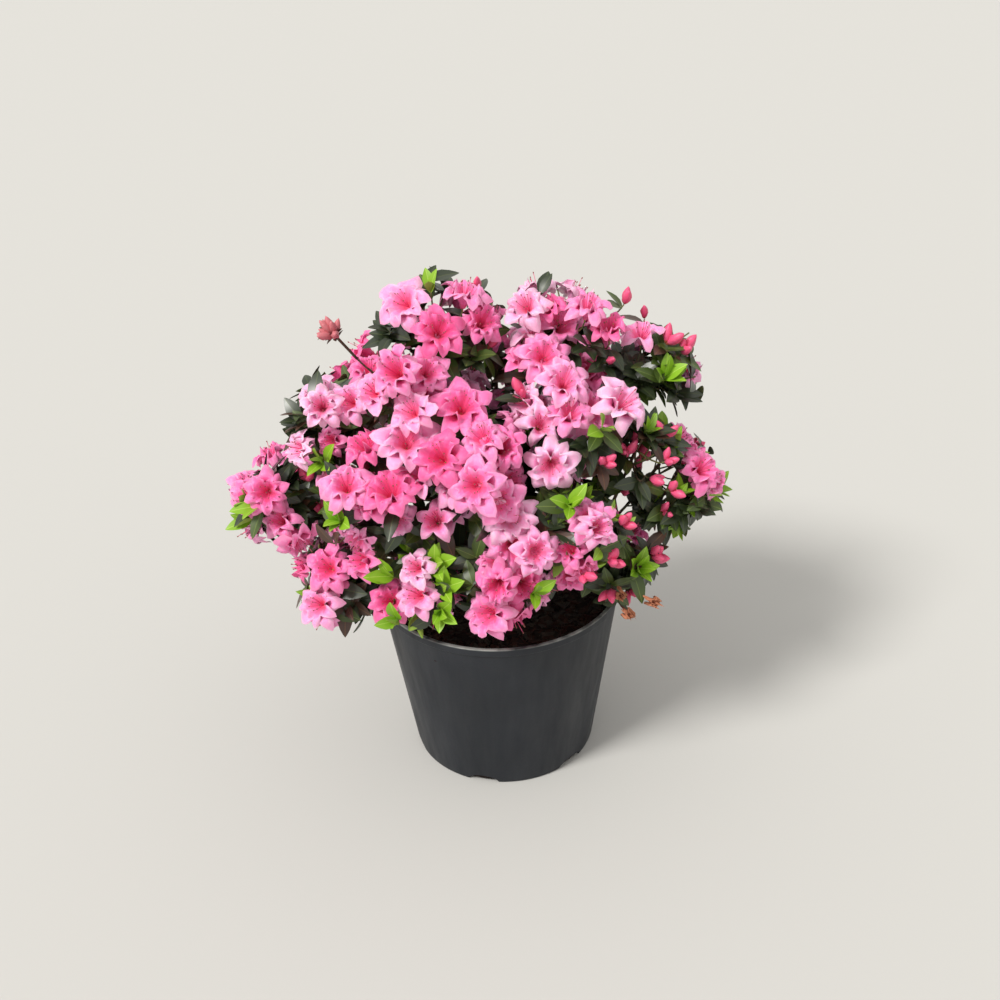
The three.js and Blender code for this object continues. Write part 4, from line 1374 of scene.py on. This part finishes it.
def place_main_blossom(shoot, tint, following, fine):
    """The blossom that the model has on this shoot, by the same draws and the same tries."""
    tip, shoot_axis = shoot["tip"], shoot["axis"]
    tilt = BLOSSOM_TILT * varied(following, BLOSSOM_TILT_VARIES)
    size = varied(following, BLOSSOM_RADIUS_VARIES)
    length = np.linalg.norm(tip - shoot["foot"])
    for attempt in range(PLACE_ATTEMPTS):
        lift = tilt * (1 - ATTEMPT_LIFT * attempt)
        axis = tilted(shoot_axis, lift, shoot["first_turn"] + ATTEMPT_TURN * attempt)
        root = tip + (shoot["foot"] - tip) * BLOSSOM_SLIDE * attempt / length
        radius = BLOSSOM_RADIUS * size * (1 - ATTEMPT_SHRINK * attempt)
        if try_blossom(root, axis, radius, tint, fine):
            note_stalk(tip, shoot_axis, root, axis)
            return True
    return False


def place_companions(tip, shoot_axis, first_turn, count, tint, fine):
    """More blossoms of the same truss, each on a short stalk of its own and facing away from the rest."""
    placed = 0
    for i in range(COMPANION_TRIES):
        if placed >= count:
            return
        turn = first_turn + math.pi + i * GOLDEN_ANGLE
        tilt = COMPANION_TILT * varied(fine, COMPANION_TILT_VARIES)
        axis = unit(tilted(shoot_axis, tilt, turn) + COMPANION_UPTURN * UP)
        root = tip + axis * PEDICEL_LENGTH * varied(fine, PEDICEL_VARIES)
        if try_blossom(root, axis, BLOSSOM_RADIUS * varied(fine, COMPANION_RADIUS_VARIES), tint, fine):
            note_stalk(tip, shoot_axis, root, axis)
            placed += 1


def skip_draws(following, count):
    """Passes over numbers of the run, so that what grows next stays the same."""
    for _ in range(count):
        following()


def tint_for(limb, fine):
    """A blossom's tint, from 0 for the palest on."""
    shares = EVEN_TINTS
    if limb.name in PALE_SPRAYS:
        shares = MORE_PALE_TINTS
    if limb.name in DEEP_SPRAYS:
        shares = MORE_DEEP_TINTS
    pick = fine()
    return sum(pick > share for share in shares)


def leaf_kind(limb, fine):
    """Which heap a whorl's old leaves go to."""
    pick = fine()
    if pick < (MORE_BRONZE_ODDS if limb.name in BRONZE_SPRAYS else BRONZE_ODDS):
        return "bronze"
    return "dark" if pick < DARK_UP_TO else "mid"


def place_leaf(kind, root, along, top, length, fine, slack):
    """Places a leaf where it keeps to the crown and off the pot, the blossoms and the gaps."""
    ahead = unit(along) * length
    side = np.cross(top, unit(along))
    side = side / max(np.linalg.norm(side), LEAF_LEAST_SIDE) * length * LEAF_HALF_SPOT
    wide = root + ahead * LEAF_WIDE_SPOT
    points = np.array([root + ahead, wide + side, wide - side, root + ahead * LEAF_NEAR_SPOT])
    if not in_leafy_space(points, slack) or not clear_of_pot(points) or in_blossom(points, 1.0):
        return
    if shows_in(points, FRONT_GAPS) or (kind != "bright" and hides_a_face(points)):
        return
    shape, faces, slots = leaf_shapes[kind][int(fine() * len(leaf_shapes[kind]))]
    leaves[kind].add(root + (shape * length) @ facing(along, top), faces, slots)


def place_whorl(tip, axis, count, tilt, kind, lengths, drop, slack, fine):
    first = fine() * 2 * math.pi
    for i in range(count):
        turn = first + i * 2 * math.pi / count * (1 + WHORL_TURN_VARIES * (fine() - 0.5))
        along = tilted(axis, tilt + WHORL_TILT_VARIES * (fine() - 0.5), turn)
        root = tip - axis * (drop + WHORL_STEP * i * fine())
        place_leaf(kind, root, along, axis, between(fine, lengths), fine, slack)


def add_bud(root, along, length, plumpness, heap):
    shape, faces, slots = BUD
    heap.add(root + (shape * length * np.array([1, plumpness, plumpness])) @ frame_about(along), faces, slots)


def place_buds(tip, axis, count, fine):
    first = fine() * 2 * math.pi
    for i in range(count):
        along = tilted(axis, BUD_TILT * varied(fine, BUD_TILT_VARIES), first + i * GOLDEN_ANGLE)
        length = BUD_LENGTH * varied(fine, BUD_LENGTH_VARIES)
        root = tip + along * BUD_FORWARD
        points = np.array([root + along * length, root + along * length * 0.5])
        if in_crown(points, TUFT_SLACK) and not in_blossom(points, 0.0):
            add_bud(root, along, length, 1.0, buds)


def dress_tip(limb, tip, axis, form, fine):
    """The buds and whorls of leaves at a tip, sometimes with a tuft of bright new leaves."""
    whorls = WHORLS[form]
    if form == "leaf" and fine() < (FRESH_LEAF_ODDS if limb.name in FRESH_SPRAYS else NEW_LEAF_ODDS):
        whorls += WHORLS["new"]
    if form == "bud":
        place_buds(tip, axis, LEAST_BUDS + int(MORE_BUDS * fine()), fine)
    old_kind = None
    for count, tilt, kind, lengths, drop, slack in whorls:
        if kind == "old":
            old_kind = old_kind or leaf_kind(limb, fine)
            kind = old_kind
        place_whorl(tip, axis, count, tilt, kind, lengths, drop, slack, fine)


def add_twig(foot, tip, axis, thick, slot):
    curve = shoot_curve(foot, tip, axis)
    end = min(thick, TWIG_TIP_RADIUS)
    steps = max(TWIG_LEAST_STEPS, int(curve.length() / TWIG_STEP))
    add_tube(twigs, curve, lambda t, turns: thick + (end - thick) * t, TWIG_SIDES, steps, slot)
    return curve


def grow_side_twigs(limb, curve, length, fine):
    """Finer twigs on a shoot, each with an end of its own."""
    outwards = unit(limb.centre - CROWN_HEART)
    for i, share in enumerate(SIDE_TWIG_SHARES):
        foot = curve.at(share)
        tilt = SIDE_TWIG_TILT * varied(fine, SIDE_TWIG_TILT_VARIES)
        direction = tilted(curve.along(share), tilt, fine() * 2 * math.pi + i * GOLDEN_ANGLE)
        direction = unit(direction + SIDE_TWIG_UPTURN * UP + SIDE_TWIG_OUTWARD * outwards)
        if limb.name in OPEN_SPRAYS and i == OPEN_SPRAY_DOES_WITHOUT:
            continue
        tip = foot + direction * max(SIDE_TWIG_LEAST, between(fine, SIDE_TWIG_REACH) * length)
        kind = fine()
        place = tip[None, :]
        if in_leafy_space(place) and clear_of_pot(place) and not in_blossom(place, 0.0):
            tips.append((limb, foot, tip, unit(direction + TWIG_END_UPTURN * UP), kind))


def grow_stem_twigs(limb, curve, shares, lengths, fine):
    """Short leafy twigs straight from a stem or limb."""
    for i, share in enumerate(shares):
        if limb.name in OPEN_SPRAYS and i % OPEN_SPRAY_KEEPS_EACH > 0:
            continue
        foot = curve.at(share)
        tilt = STEM_TWIG_TILT * varied(fine, STEM_TWIG_TILT_VARIES)
        direction = tilted(curve.along(share), tilt, i * GOLDEN_ANGLE + fine())
        direction = unit(direction + TWIG_END_UPTURN * UP)
        tip = foot + direction * between(fine, lengths)
        kind = STEM_TWIG_LEAFINESS + (1 - STEM_TWIG_LEAFINESS) * fine()
        if in_leafy_space(tip[None, :]) and clear_of_pot(tip[None, :]):
            tips.append((limb, foot, tip, unit(direction + TWIG_END_UPTURN * UP), kind))


def picture_ray(pixel):
    """The direction from the camera through a pixel of the picture."""
    back, image_right, image_up = camera_axes()
    aside = (pixel[0] - PICTURE / 2) / FOCAL_PIXELS * image_right
    return unit(aside - (pixel[1] - PICTURE / 2) / FOCAL_PIXELS * image_up - back)


def front_spot(pixel, inset):
    """The spray that shows at a pixel, the point a little inside its space there, and the outward way."""
    direction = picture_ray(pixel)
    along = (CENTRES - EYE) @ direction
    off_line = ((CENTRES - EYE) ** 2).sum(1) - along**2
    depth = np.sqrt(np.maximum(SPREADS**2 - off_line, 0))
    missed = along + OFF_SPRAY_WEIGHT * (np.sqrt(off_line) - SPREADS)
    pick = int(np.argmin(np.where(off_line < SPREADS**2, along - depth, missed)))
    spot = EYE + direction * (along[pick] - max(0.0, depth[pick] - inset))
    outwards = unit(unit(spot - CROWN_HEART) + SPRAY_OUTWARD * unit(spot - CENTRES[pick]))
    return limbs[pick], spot, outwards, -direction


def foot_on_stem(limb, spot):
    """Where a twig to the spot leaves the spray's stem: near the spot, but with some length left."""
    stem = limb.stem()
    choices = [stem.at(t) for t in np.linspace(*FRONT_TWIG_FEET)]
    return min(choices, key=lambda point: abs(np.linalg.norm(point - spot) - FRONT_TWIG_LENGTH))


def grow_front_blossoms(fine):
    """The blossoms that show from the front, each on a twig from the stem of the spray it falls in."""
    for group, places in FRONT_BLOSSOMS.items():
        for pixel in places:
            limb, spot, outwards, toward = front_spot(pixel, FACE_INSET)
            lean = np.array([fine() - 0.5 for _ in range(3)])
            faced = FRONT_OUTWARD * outwards + FRONT_TOWARD * toward + FRONT_UPTURN * UP
            axis = unit(faced + FRONT_LEAN * lean)
            inwards = unit(limb.centre - spot) - FRONT_STEP_BACK * toward
            to_face = axis * BLOSSOM_DEPTH * FACE_AHEAD
            for attempt in range(FRONT_TRIES):
                shrink = 1 - FRONT_SHRINK * attempt
                radius = BLOSSOM_RADIUS * varied(fine, FRONT_RADIUS_VARIES) * shrink
                root = spot - to_face + inwards * FRONT_STEP * attempt
                if not try_blossom(root, axis, radius, tint_for(limb, fine), fine, FRONT_SLACK):
                    continue
                front_faces.append((root + to_face, toward, radius))
                if group in WIDE_GROUPS:
                    wide.append(len(blossoms) - 1)
                tip = root - axis * FRONT_STALK
                add_twig(foot_on_stem(limb, root), tip, axis, FRONT_TWIG_RADIUS, 1)
                pedicels.append((tip, axis, root, axis))
                leafy.append((limb, tip, axis, "truss"))
                break


def open_front_blossoms(following):
    """The blossoms of the larger groups open wider than the room kept for them among the others."""
    for i in wide:
        growth = between(following, FRONT_GROWTH)
        root, axis, radius = funnels[i]
        funnels[i] = (root, axis, radius * growth)
        blossoms[i]["radius"] *= growth


def grow_front_tips(places, form, inset):
    """Leafy or budded tips that show from the front."""
    for pixel in places:
        limb, spot, outwards, toward = front_spot(pixel, inset)
        tip = spot + TUFT_DRAW_IN * unit(limb.centre - spot)
        axis = unit(outwards + TIP_TOWARD * toward + TIP_UPTURN * UP)
        if clear_of_pot(tip[None, :]) and not in_blossom(tip[None, :], BLOSSOM_OVERLAP):
            add_twig(foot_on_stem(limb, tip), tip, axis, FRONT_TWIG_RADIUS, 1)
            leafy.append((limb, tip, axis, form))


def add_withered(fine):
    """A few spent blossoms, crumpled and hanging on their twigs."""
    for pixel in FRONT_WITHERED:
        limb, tip, outwards, toward = front_spot(pixel, TUFT_INSET)
        axis = unit(outwards + WITHERED_TOWARD * toward + WITHERED_UPTURN * UP)
        add_twig(foot_on_stem(limb, tip), tip, axis, FINE_TWIG_RADIUS, 0)
        points, faces, slots = corolla(fine, WITHERED_CLOSED, False)
        crumple = np.array([varied(fine, WITHERED_CRUMPLE) for _ in range(len(points))])
        points = points * np.array(WITHERED_STRETCH) * crumple[:, None] * WITHERED_RADIUS
        withered.add(tip + points @ facing(axis, SIDEWAYS), faces, (slots > WITHERED_TINT_FROM).astype(int))


def grow_sprig(limb, stem, fine):
    """The bare sprig: only a tuft of slim buds at the end of its stem."""
    end, along_end = stem.at(1), stem.along(1)
    first = fine() * 2 * math.pi
    for i in range(SPRIG_BUDS):
        along = tilted(along_end, SPRIG_FIRST_TILT + SPRIG_FAN * i / SPRIG_BUDS, first + i * GOLDEN_ANGLE)
        length = SPRIG_BUD_LENGTH * varied(fine, BUD_LENGTH_VARIES)
        add_bud(end - along_end * SPRIG_SINK, along, length, SPRIG_BUD_WIDTH, sprig_buds)
    dress_tip(limb, end, along_end, "sprig", fine)


def grow_spray(limb):
    """The model's own shoots with their main blossoms. The finer twigs are only noted here."""
    following = seeded_numbers(limb.seed)
    fine = seeded_numbers(FINE_SEED + limb.seed)
    stem = limb.stem()
    foot_radius = SPRIG_STEM_RADIUS if limb.bud == 1 else limb.radius(1)
    taper = min(foot_radius, SPRAY_STEM_TIP_RADIUS) - foot_radius
    add_tube(twigs, stem, lambda t, turns: foot_radius + taper * t, SPRAY_STEM_SIDES, SPRAY_STEM_STEPS)
    if limb.bud == 1:
        grow_sprig(limb, stem, fine)
        return
    for shoot in grow_shoots(limb, following):
        shoot["first_turn"] = following() * 2 * math.pi
        curve = add_twig(shoot["foot"], shoot["tip"], shoot["axis"], TWIG_FOOT_RADIUS, 0)
        if shoot["kind"] < limb.bloom:
            tint = tint_for(limb, fine)
            if place_main_blossom(shoot, tint, following, fine):
                trusses.append((shoot, tint, limb))
            skip_draws(following, 2 * TRUSS_LEAVES)
        else:
            skip_draws(following, 2 * SMALL_COUNT + 2 * WHORL_LEAVES)
            is_bud = shoot["kind"] < limb.bloom + limb.bud
            ends.append((limb, shoot["tip"], shoot["axis"], "bud" if is_bud else "leaf"))
            skip_draws(fine, 1)
        grow_side_twigs(limb, curve, curve.length(), fine)
    grow_stem_twigs(limb, stem, STEM_TWIG_SHARES, STEM_TWIG_LENGTHS, fine)
    count = int(limb.curve.length() / LIMB_TWIG_STEP)
    shares = [LIMB_TWIG_FIRST + (1 - LIMB_TWIG_FIRST) * (i + 0.5) / count for i in range(count)]
    grow_stem_twigs(limb, limb.curve, shares, LIMB_TWIG_LENGTHS, fine)


def finish_tips(fine):
    """Blossoms first, so that leaves keep off them, then buds and leaves."""
    for shoot, tint, limb in trusses:
        least = LEAST_COMPANIONS_BEHIND if limb.centre[1] > BACK_FROM else LEAST_COMPANIONS
        count = 0 if limb.name in OPEN_SPRAYS else least + int(TRUSS_COMPANIONS * fine())
        place_companions(shoot["tip"], shoot["axis"], shoot["first_turn"], count, tint, fine)
    for limb, foot, tip, axis, kind in tips:
        place = tip[None, :]
        if in_blossom(place, 0.0) or hides_a_face(place) or shows_in(place, FRONT_GAPS):
            continue
        add_twig(foot, tip, axis, FINE_TWIG_RADIUS, 1)
        share = BACK_TWIG_BLOOM if limb.centre[1] > BACK_FROM else TWIG_BLOOM
        form = "bud" if kind > 1 - TWIG_BUD_SHARE * limb.bud else "leaf"
        if kind < share * limb.bloom and limb.name not in OPEN_SPRAYS:
            radius = BLOSSOM_RADIUS * varied(fine, TWIG_BLOSSOM_VARIES)
            if try_blossom(tip, axis, radius, tint_for(limb, fine), fine):
                pedicels.append((tip - axis * TWIG_PEDICEL_SINK, axis, tip, axis))
                form = "truss"
        leafy.append((limb, tip, axis, form))
    open_front_blossoms(fine_run(OPENING_RUN))
    truss_tips = [(limb, shoot["tip"], shoot["axis"], "truss") for shoot, tint, limb in trusses]
    for limb, tip, axis, form in leafy + truss_tips + ends:
        dress_tip(limb, tip, axis, form, fine)


def add_blossom(blossom, following):
    axes = frame_about(blossom["axis"])
    root, radius = blossom["root"], blossom["radius"]
    closed = CLOSED_SHARE * following() ** 2
    layers = (False, True) if following() < INNER_ODDS else (False,)
    for is_inner in layers:
        points, faces, slots = corolla(following, closed, is_inner)
        corollas[blossom["tint"]].add(root + (points * radius) @ axes, faces, slots)
    add_stamens(root, axes, radius, following)


def anther_radius(t, turns):
    return ANTHER_RADIUS * math.sin(math.pi * (ANTHER_ROUND_FROM + ANTHER_ROUND_OVER * t))


def add_stamens(root, axes, radius, following):
    """Arched filaments with their anthers, and the longer style among them."""
    ahead = axes[0]
    start = root + ahead * STAMEN_START
    for i in range(STAMENS + 1):
        is_style = i == STAMENS
        aside = aside_of(axes, i * 2 * math.pi / STAMENS + following())
        length = radius * (STYLE_LENGTH if is_style else STAMEN_LENGTH * varied(following, STAMEN_VARIES))
        lean = STYLE_LEAN if is_style else STAMEN_LEAN
        tip = start + ahead * length + aside * length * lean + axes[2] * STAMEN_RISE
        after_start = start + ahead * length * STAMEN_START_PULL
        curve = Curve(start, after_start, tip - ahead * length * STAMEN_END_PULL, tip)
        add_tube(stamens, curve, lambda t, turns: STAMEN_RADIUS, STAMEN_SIDES, STAMEN_STEPS)
        blob = Curve(*(tip + ahead * ANTHER_STEP * k for k in range(4)))
        add_tube(stamens, blob, anther_radius, ANTHER_SIDES, ANTHER_STEPS, 1)


def pedicel_radius(t, turns):
    return PEDICEL_RADIUS + CUP_SWELL * t**CUP_SWELL_POWER


def add_pedicel(foot, foot_axis, root, axis):
    """The stalk of a blossom and the small green cup that holds it."""
    length = max(PEDICEL_LEAST, float(np.linalg.norm(root - foot)))
    end = root + axis * CUP_DEPTH
    after_foot = foot + foot_axis * length * PEDICEL_START_PULL
    curve = Curve(foot, after_foot, end - axis * length * PEDICEL_END_PULL, end)
    add_tube(twigs, curve, pedicel_radius, PEDICEL_SIDES, PEDICEL_STEPS, 2)


# Pot and mix


def lathe(profile, sides):
    """The points and faces of a closed profile of (radius, height) pairs, turned round the upright axis."""
    turns = np.arange(sides) * 2 * math.pi / sides
    points, faces, rings = [], [], []
    for radius, height in profile:
        if radius == 0:
            rings.append([len(points)] * sides)
            points.append((0.0, 0.0, height))
            continue
        rings.append(list(range(len(points), len(points) + sides)))
        points += [(radius * math.cos(a), radius * math.sin(a), height) for a in turns]
    for low, high in zip(rings, rings[1:]):
        for i in range(sides):
            corners = [low[i], low[(i + 1) % sides], high[(i + 1) % sides], high[i]]
            faces.append([c for k, c in enumerate(corners) if c not in corners[:k]])
    return points, faces


def arc(centre, radius, first, last, steps):
    angles = [math.radians(first + (last - first) * i / steps) for i in range(steps + 1)]
    return [(centre[0] + radius * math.cos(a), centre[1] + radius * math.sin(a)) for a in angles]


def wall_radius(height):
    share = height / (POT_HEIGHT - LIP_HEIGHT)
    return FOOT_RADIUS + (RIM_RADIUS - LIP_PROUD - FOOT_RADIUS) * share


def pot_profile():
    lip_foot = POT_HEIGHT - LIP_HEIGHT
    lip_middle = RIM_RADIUS - LIP_ROUND
    top_middle = POT_HEIGHT - LIP_ROUND
    inner_middle = wall_radius(lip_foot) - WALL + LIP_ROUND
    return (
        [(0, 0)]
        + arc((FOOT_RADIUS - FOOT_ROUND, FOOT_ROUND), FOOT_ROUND, -90, 0, FOOT_STEPS)
        + [(wall_radius(h), h) for h in np.linspace(WALL_STARTS, lip_foot, WALL_RINGS)]
        + arc((lip_middle, lip_foot + LIP_ROUND), LIP_ROUND, LIP_UNDERSIDE_TURN, 0, LIP_STEPS)
        + arc((lip_middle, top_middle), LIP_ROUND, 0, 90, LIP_STEPS)
        + arc((inner_middle, top_middle), LIP_ROUND, 90, 180, LIP_STEPS)
        + [(wall_radius(h) - WALL, h) for h in np.linspace(lip_foot, FLOOR_THICK, INSIDE_RINGS)]
        + [(0, FLOOR_THICK)]
    )


def mesh_of(name, points, faces):
    mesh = bpy.data.meshes.new(name)
    mesh.from_pydata([tuple(c * MM for c in p) for p in points], [], faces)
    mesh.validate()
    return mesh


def drain_cutter(bearing):
    """The arched opening through the foot of the wall, as a loose object."""
    half = DRAIN_WIDTH / 2
    arch = [(-half, -1.0), (half, -1.0)]
    for i in range(DRAIN_ARC_STEPS + 1):
        angle = math.pi * i / DRAIN_ARC_STEPS
        arch.append((half * math.cos(angle), DRAIN_HEIGHT * math.sin(angle)))
    turn = math.radians(bearing)
    out = Vector((math.cos(turn), math.sin(turn), 0))
    side = Vector((-math.sin(turn), math.cos(turn), 0))
    points = []
    for depth in (FOOT_RADIUS - DRAIN_DEPTH, FOOT_RADIUS + DRAIN_DEPTH):
        points += [out * depth + side * x + Vector((0, 0, z)) for x, z in arch]
    count = len(arch)
    faces = [list(range(count - 1, -1, -1)), list(range(count, 2 * count))]
    for i in range(count):
        after = (i + 1) % count
        faces.append([i, after, count + after, count + i])
    return new_object("cutter", mesh_of("cutter", points, faces))


def add_pot():
    """The shell of the pot, with its drain openings cut through the foot of the wall."""
    shell = new_object("pot_shell_uncut", mesh_of("pot_shell", *lathe(pot_profile(), POT_SIDES)))
    cutters = [drain_cutter(DRAIN_FIRST_BEARING + 360 / DRAIN_COUNT * i) for i in range(DRAIN_COUNT)]
    for cutter in cutters:
        cut = shell.modifiers.new("drain", "BOOLEAN")
        cut.operation = "DIFFERENCE"
        cut.object = cutter
    depsgraph = bpy.context.evaluated_depsgraph_get()
    cut_mesh = bpy.data.meshes.new_from_object(shell.evaluated_get(depsgraph))
    for loose in cutters + [shell]:
        bpy.data.objects.remove(loose)
    cut_mesh.name = "pot_shell"
    cut_mesh.materials.clear()
    cut_mesh.materials.append(pot_material())
    cut_mesh.polygons.foreach_set("use_smooth", np.ones(len(cut_mesh.polygons), bool))
    cut_mesh.set_sharp_from_angle(angle=math.radians(POT_SHARP_FROM))
    add_piece("pot_shell", cut_mesh, ["pot"])


def mix_radius(height):
    """How far the mix reaches from the pot's middle line, at a height."""
    return wall_radius(height) - WALL - GAP


def mix_height(radius):
    """The height of the mix's domed top, at a distance from its middle."""
    return MIX_TOP - MIX_EDGE_DROP * (radius / mix_radius(MIX_TOP - MIX_EDGE_DROP)) ** 2


def add_mix():
    """The filled body of the mix with a lumpy top, and loose chips of bark on it."""
    following = seeded_numbers(FINE_SEED)
    lumps = waves(following, MIX_WAVES)
    edge_height = MIX_TOP - MIX_EDGE_DROP
    edge = mix_radius(edge_height)
    foot = mix_radius(FLOOR_THICK)
    turns = np.arange(MIX_SIDES) * 2 * math.pi / MIX_SIDES
    rings = []
    for radius, height in ((foot, FLOOR_THICK + GAP), (edge, edge_height - MIX_SHOULDER)):
        x, y = radius * np.cos(turns), radius * np.sin(turns)
        rings.append(np.stack([x, y, np.full(MIX_SIDES, height)], 1))
    for i in range(MIX_RINGS):
        radius = edge * (1 - i / MIX_RINGS)
        x, y = radius * np.cos(turns), radius * np.sin(turns)
        broad = lumps(x / BROAD_LUMPS[0], y * BROAD_LUMPS[1])
        small = lumps(y / SMALL_LUMPS[0], x * SMALL_LUMPS[1])
        bumps = MIX_LUMPS * (broad + SMALL_LUMPS_SHARE * small) - MIX_SINK
        rings.append(np.stack([x, y, mix_height(radius) + bumps], 1))
    points = np.vstack(rings + [np.array([[0, 0, FLOOR_THICK + GAP], [0, 0, MIX_TOP - MIX_SINK]])])
    bed = Heap()
    bed.add(points, ring_faces(MIX_RINGS + 2, MIX_SIDES))
    bed.piece("mix_bed", "bark_mix", [mix_material("mix_soil", *SOIL_COLOURS)], ["potting_mix"])
    add_chips(following, edge)


def add_chips(following, edge):
    """Loose chips of bark, each a box with its corners moved, in three tints."""
    corners = np.array([[x, y, z] for x in (-1, 1) for y in (-1, 1) for z in (-1, 1)], float)
    sides = np.array([[0, 1, 3], [0, 3, 2], [4, 6, 7], [4, 7, 5], [0, 4, 5], [0, 5, 1],
                      [2, 3, 7], [2, 7, 6], [0, 2, 6], [0, 6, 4], [1, 5, 7], [1, 7, 3]])
    materials = [mix_material(name, *colours) for name, colours in CHIP_COLOURS.items()]
    chips = Heap()
    for _ in range(CHIP_COUNT):
        radius = (edge - CHIP_INSET) * math.sqrt(following())
        turn = following() * 2 * math.pi
        length = between(following, CHIP_LENGTHS)
        width = length * between(following, CHIP_WIDTHS)
        size = np.array([length, width, between(following, CHIP_THICKNESSES)]) / 2
        worn = np.array([[varied(following, CHIP_VARIES) for _ in range(3)] for _ in corners])
        shape = corners * size * worn
        lean = unit(UP + CHIP_LEAN * np.array([following() - 0.5, following() - 0.5, 0]))
        heading = following() * 2 * math.pi
        axes = facing(np.array([math.cos(heading), math.sin(heading), 0.0]), lean)
        height = mix_height(radius) + between(following, CHIP_HEIGHTS)
        place = np.array([radius * math.cos(turn), radius * math.sin(turn), height])
        tint = int(following() * len(materials))
        chips.add(place + shape @ axes, sides, np.full(len(sides), tint))
    piece = chips.piece("bark_chips", "bark_mix", materials, [])
    piece.data.polygons.foreach_set("use_smooth", np.zeros(len(piece.data.polygons), bool))


# Camera, lights and floor


def camera_axes():
    """The ways back from the scene to the camera, right in the picture and up in it."""
    elevation, roll = math.radians(CAMERA_ELEVATION), math.radians(CAMERA_ROLL)
    back = np.array([0, -math.cos(elevation), math.sin(elevation)])
    right = np.array([1.0, 0, 0])
    up = np.cross(back, right)
    image_right = math.cos(roll) * right + math.sin(roll) * up
    image_up = -math.sin(roll) * right + math.cos(roll) * up
    return back, image_right, image_up


def add_camera():
    back, image_right, image_up = camera_axes()
    data = bpy.data.cameras.new("photo_camera")
    data.sensor_width = SENSOR_MM
    data.lens = FOCAL_PIXELS * SENSOR_MM / PICTURE
    camera = new_object("photo_camera", data)
    place = CAMERA_LOOK + CAMERA_DISTANCE * back
    columns = Matrix((image_right, image_up, back)).transposed().to_4x4()
    camera.matrix_world = Matrix.Translation(Vector(place)) @ columns
    bpy.context.scene.camera = camera


def add_key_light():
    """One broad soft light from the upper left, a little to the front."""
    data = bpy.data.lights.new("key", "SUN")
    data.energy = KEY_STRENGTH
    data.angle = math.radians(KEY_SOFTNESS)
    data.color = KEY_COLOUR
    light = new_object("key", data)
    light.rotation_euler = (-Vector(KEY_FROM)).to_track_quat("-Z", "Y").to_euler()


def add_studio():
    """The floor, the even light from all round and the key light."""
    floor_mesh = bpy.data.meshes.new("studio_floor")
    half = FLOOR_HALF_METRES
    corners = [(-half, -half, 0), (half, -half, 0), (half, half, 0), (-half, half, 0)]
    floor_mesh.from_pydata(corners, [], [(0, 1, 2, 3)])
    floor_mesh.materials.append(new_material("studio_floor", linear(*FLOOR_COLOUR), FLOOR_ROUGHNESS))
    new_object("studio_floor", floor_mesh)
    world = bpy.data.worlds.new("studio")
    world.use_nodes = True
    background = world.node_tree.nodes["Background"]
    background.inputs["Color"].default_value = (*WORLD_COLOUR, 1)
    background.inputs["Strength"].default_value = WORLD_STRENGTH
    bpy.context.scene.world = world
    add_key_light()
    bpy.context.scene.view_settings.view_transform = "Standard"


add_camera()
add_studio()

VIEW_AXES = camera_axes()
EYE = (CAMERA_LOOK + CAMERA_DISTANCE * VIEW_AXES[0]) / MM
by_name = {}
for number, row in enumerate(LIMBS):
    by_name[row[0]] = Limb(number + 1, row, by_name)
limbs = list(by_name.values())
CENTRES = np.array([limb.centre for limb in limbs])
SPREADS = np.array([limb.spread for limb in limbs], float)
WOOD_SHARES = np.linspace(0, 1, WOOD_SPOTS)
WOOD_POINTS = np.array([limb.curve.at(t) for limb in limbs for t in WOOD_SHARES])
WOOD_RADII = np.array([limb.radius(t) for limb in limbs for t in WOOD_SHARES])

BARK = bark_material()
BUD = bud_shape()
leaf_shapes = {kind: [leaf_shape(*form) for form in forms] for kind, forms in LEAF_FORMS.items()}
leaves = {kind: Heap() for kind in LEAF_FORMS}
corollas = [Heap() for _ in PETAL_COLOURS]
twigs, buds, sprig_buds, stamens, withered = Heap(), Heap(), Heap(), Heap(), Heap()

# What has grown so far: the room and the data of each blossom, its stalk, and the tips still to be dressed
funnels, blossoms, pedicels = [], [], []
trusses, ends, tips, leafy = [], [], [], []
front_faces, wide = [], []

add_pot()
add_mix()
add_main_stem()
add_limbs()
grow_front_blossoms(fine_run(FRONT_RUN))
for limb in limbs:
    grow_spray(limb)
grow_front_tips(FRONT_BUDS, "bud", BUD_INSET)
grow_front_tips(FRONT_BRIGHT_TUFTS, "bright", BRIGHT_INSET)
grow_front_tips(FRONT_DARK_TUFTS, "dark", TUFT_INSET)
finish_tips(fine_run(FINISHING_RUN))
flower_numbers = fine_run(FLOWER_RUN)
for blossom in blossoms:
    add_blossom(blossom, flower_numbers)
add_withered(flower_numbers)
for pedicel in pedicels:
    add_pedicel(*pedicel)

spray_nodes = [f"spray_{limb.name}" for limb in limbs]
small_heaps = {"stamens": stamens, "blossoms_withered": withered, "buds": buds, "buds_sprig": sprig_buds}
for heap, (label, *colours) in zip(corollas, PETAL_COLOURS):
    heap.piece(f"blossoms_{label}", "blossom", petal_materials(f"petal_{label}", *colours), spray_nodes)
for label, heap in small_heaps.items():
    heap.piece(label, "blossom", plain_materials(label), spray_nodes)
for kind, heap in leaves.items():
    heap.piece(f"leaves_{kind}", "foliage", leaf_materials(f"leaf_{kind}", *LEAF_COLOURS[kind]), spray_nodes)
twigs.piece("twigs", "bark", plain_materials("twigs"), spray_nodes)
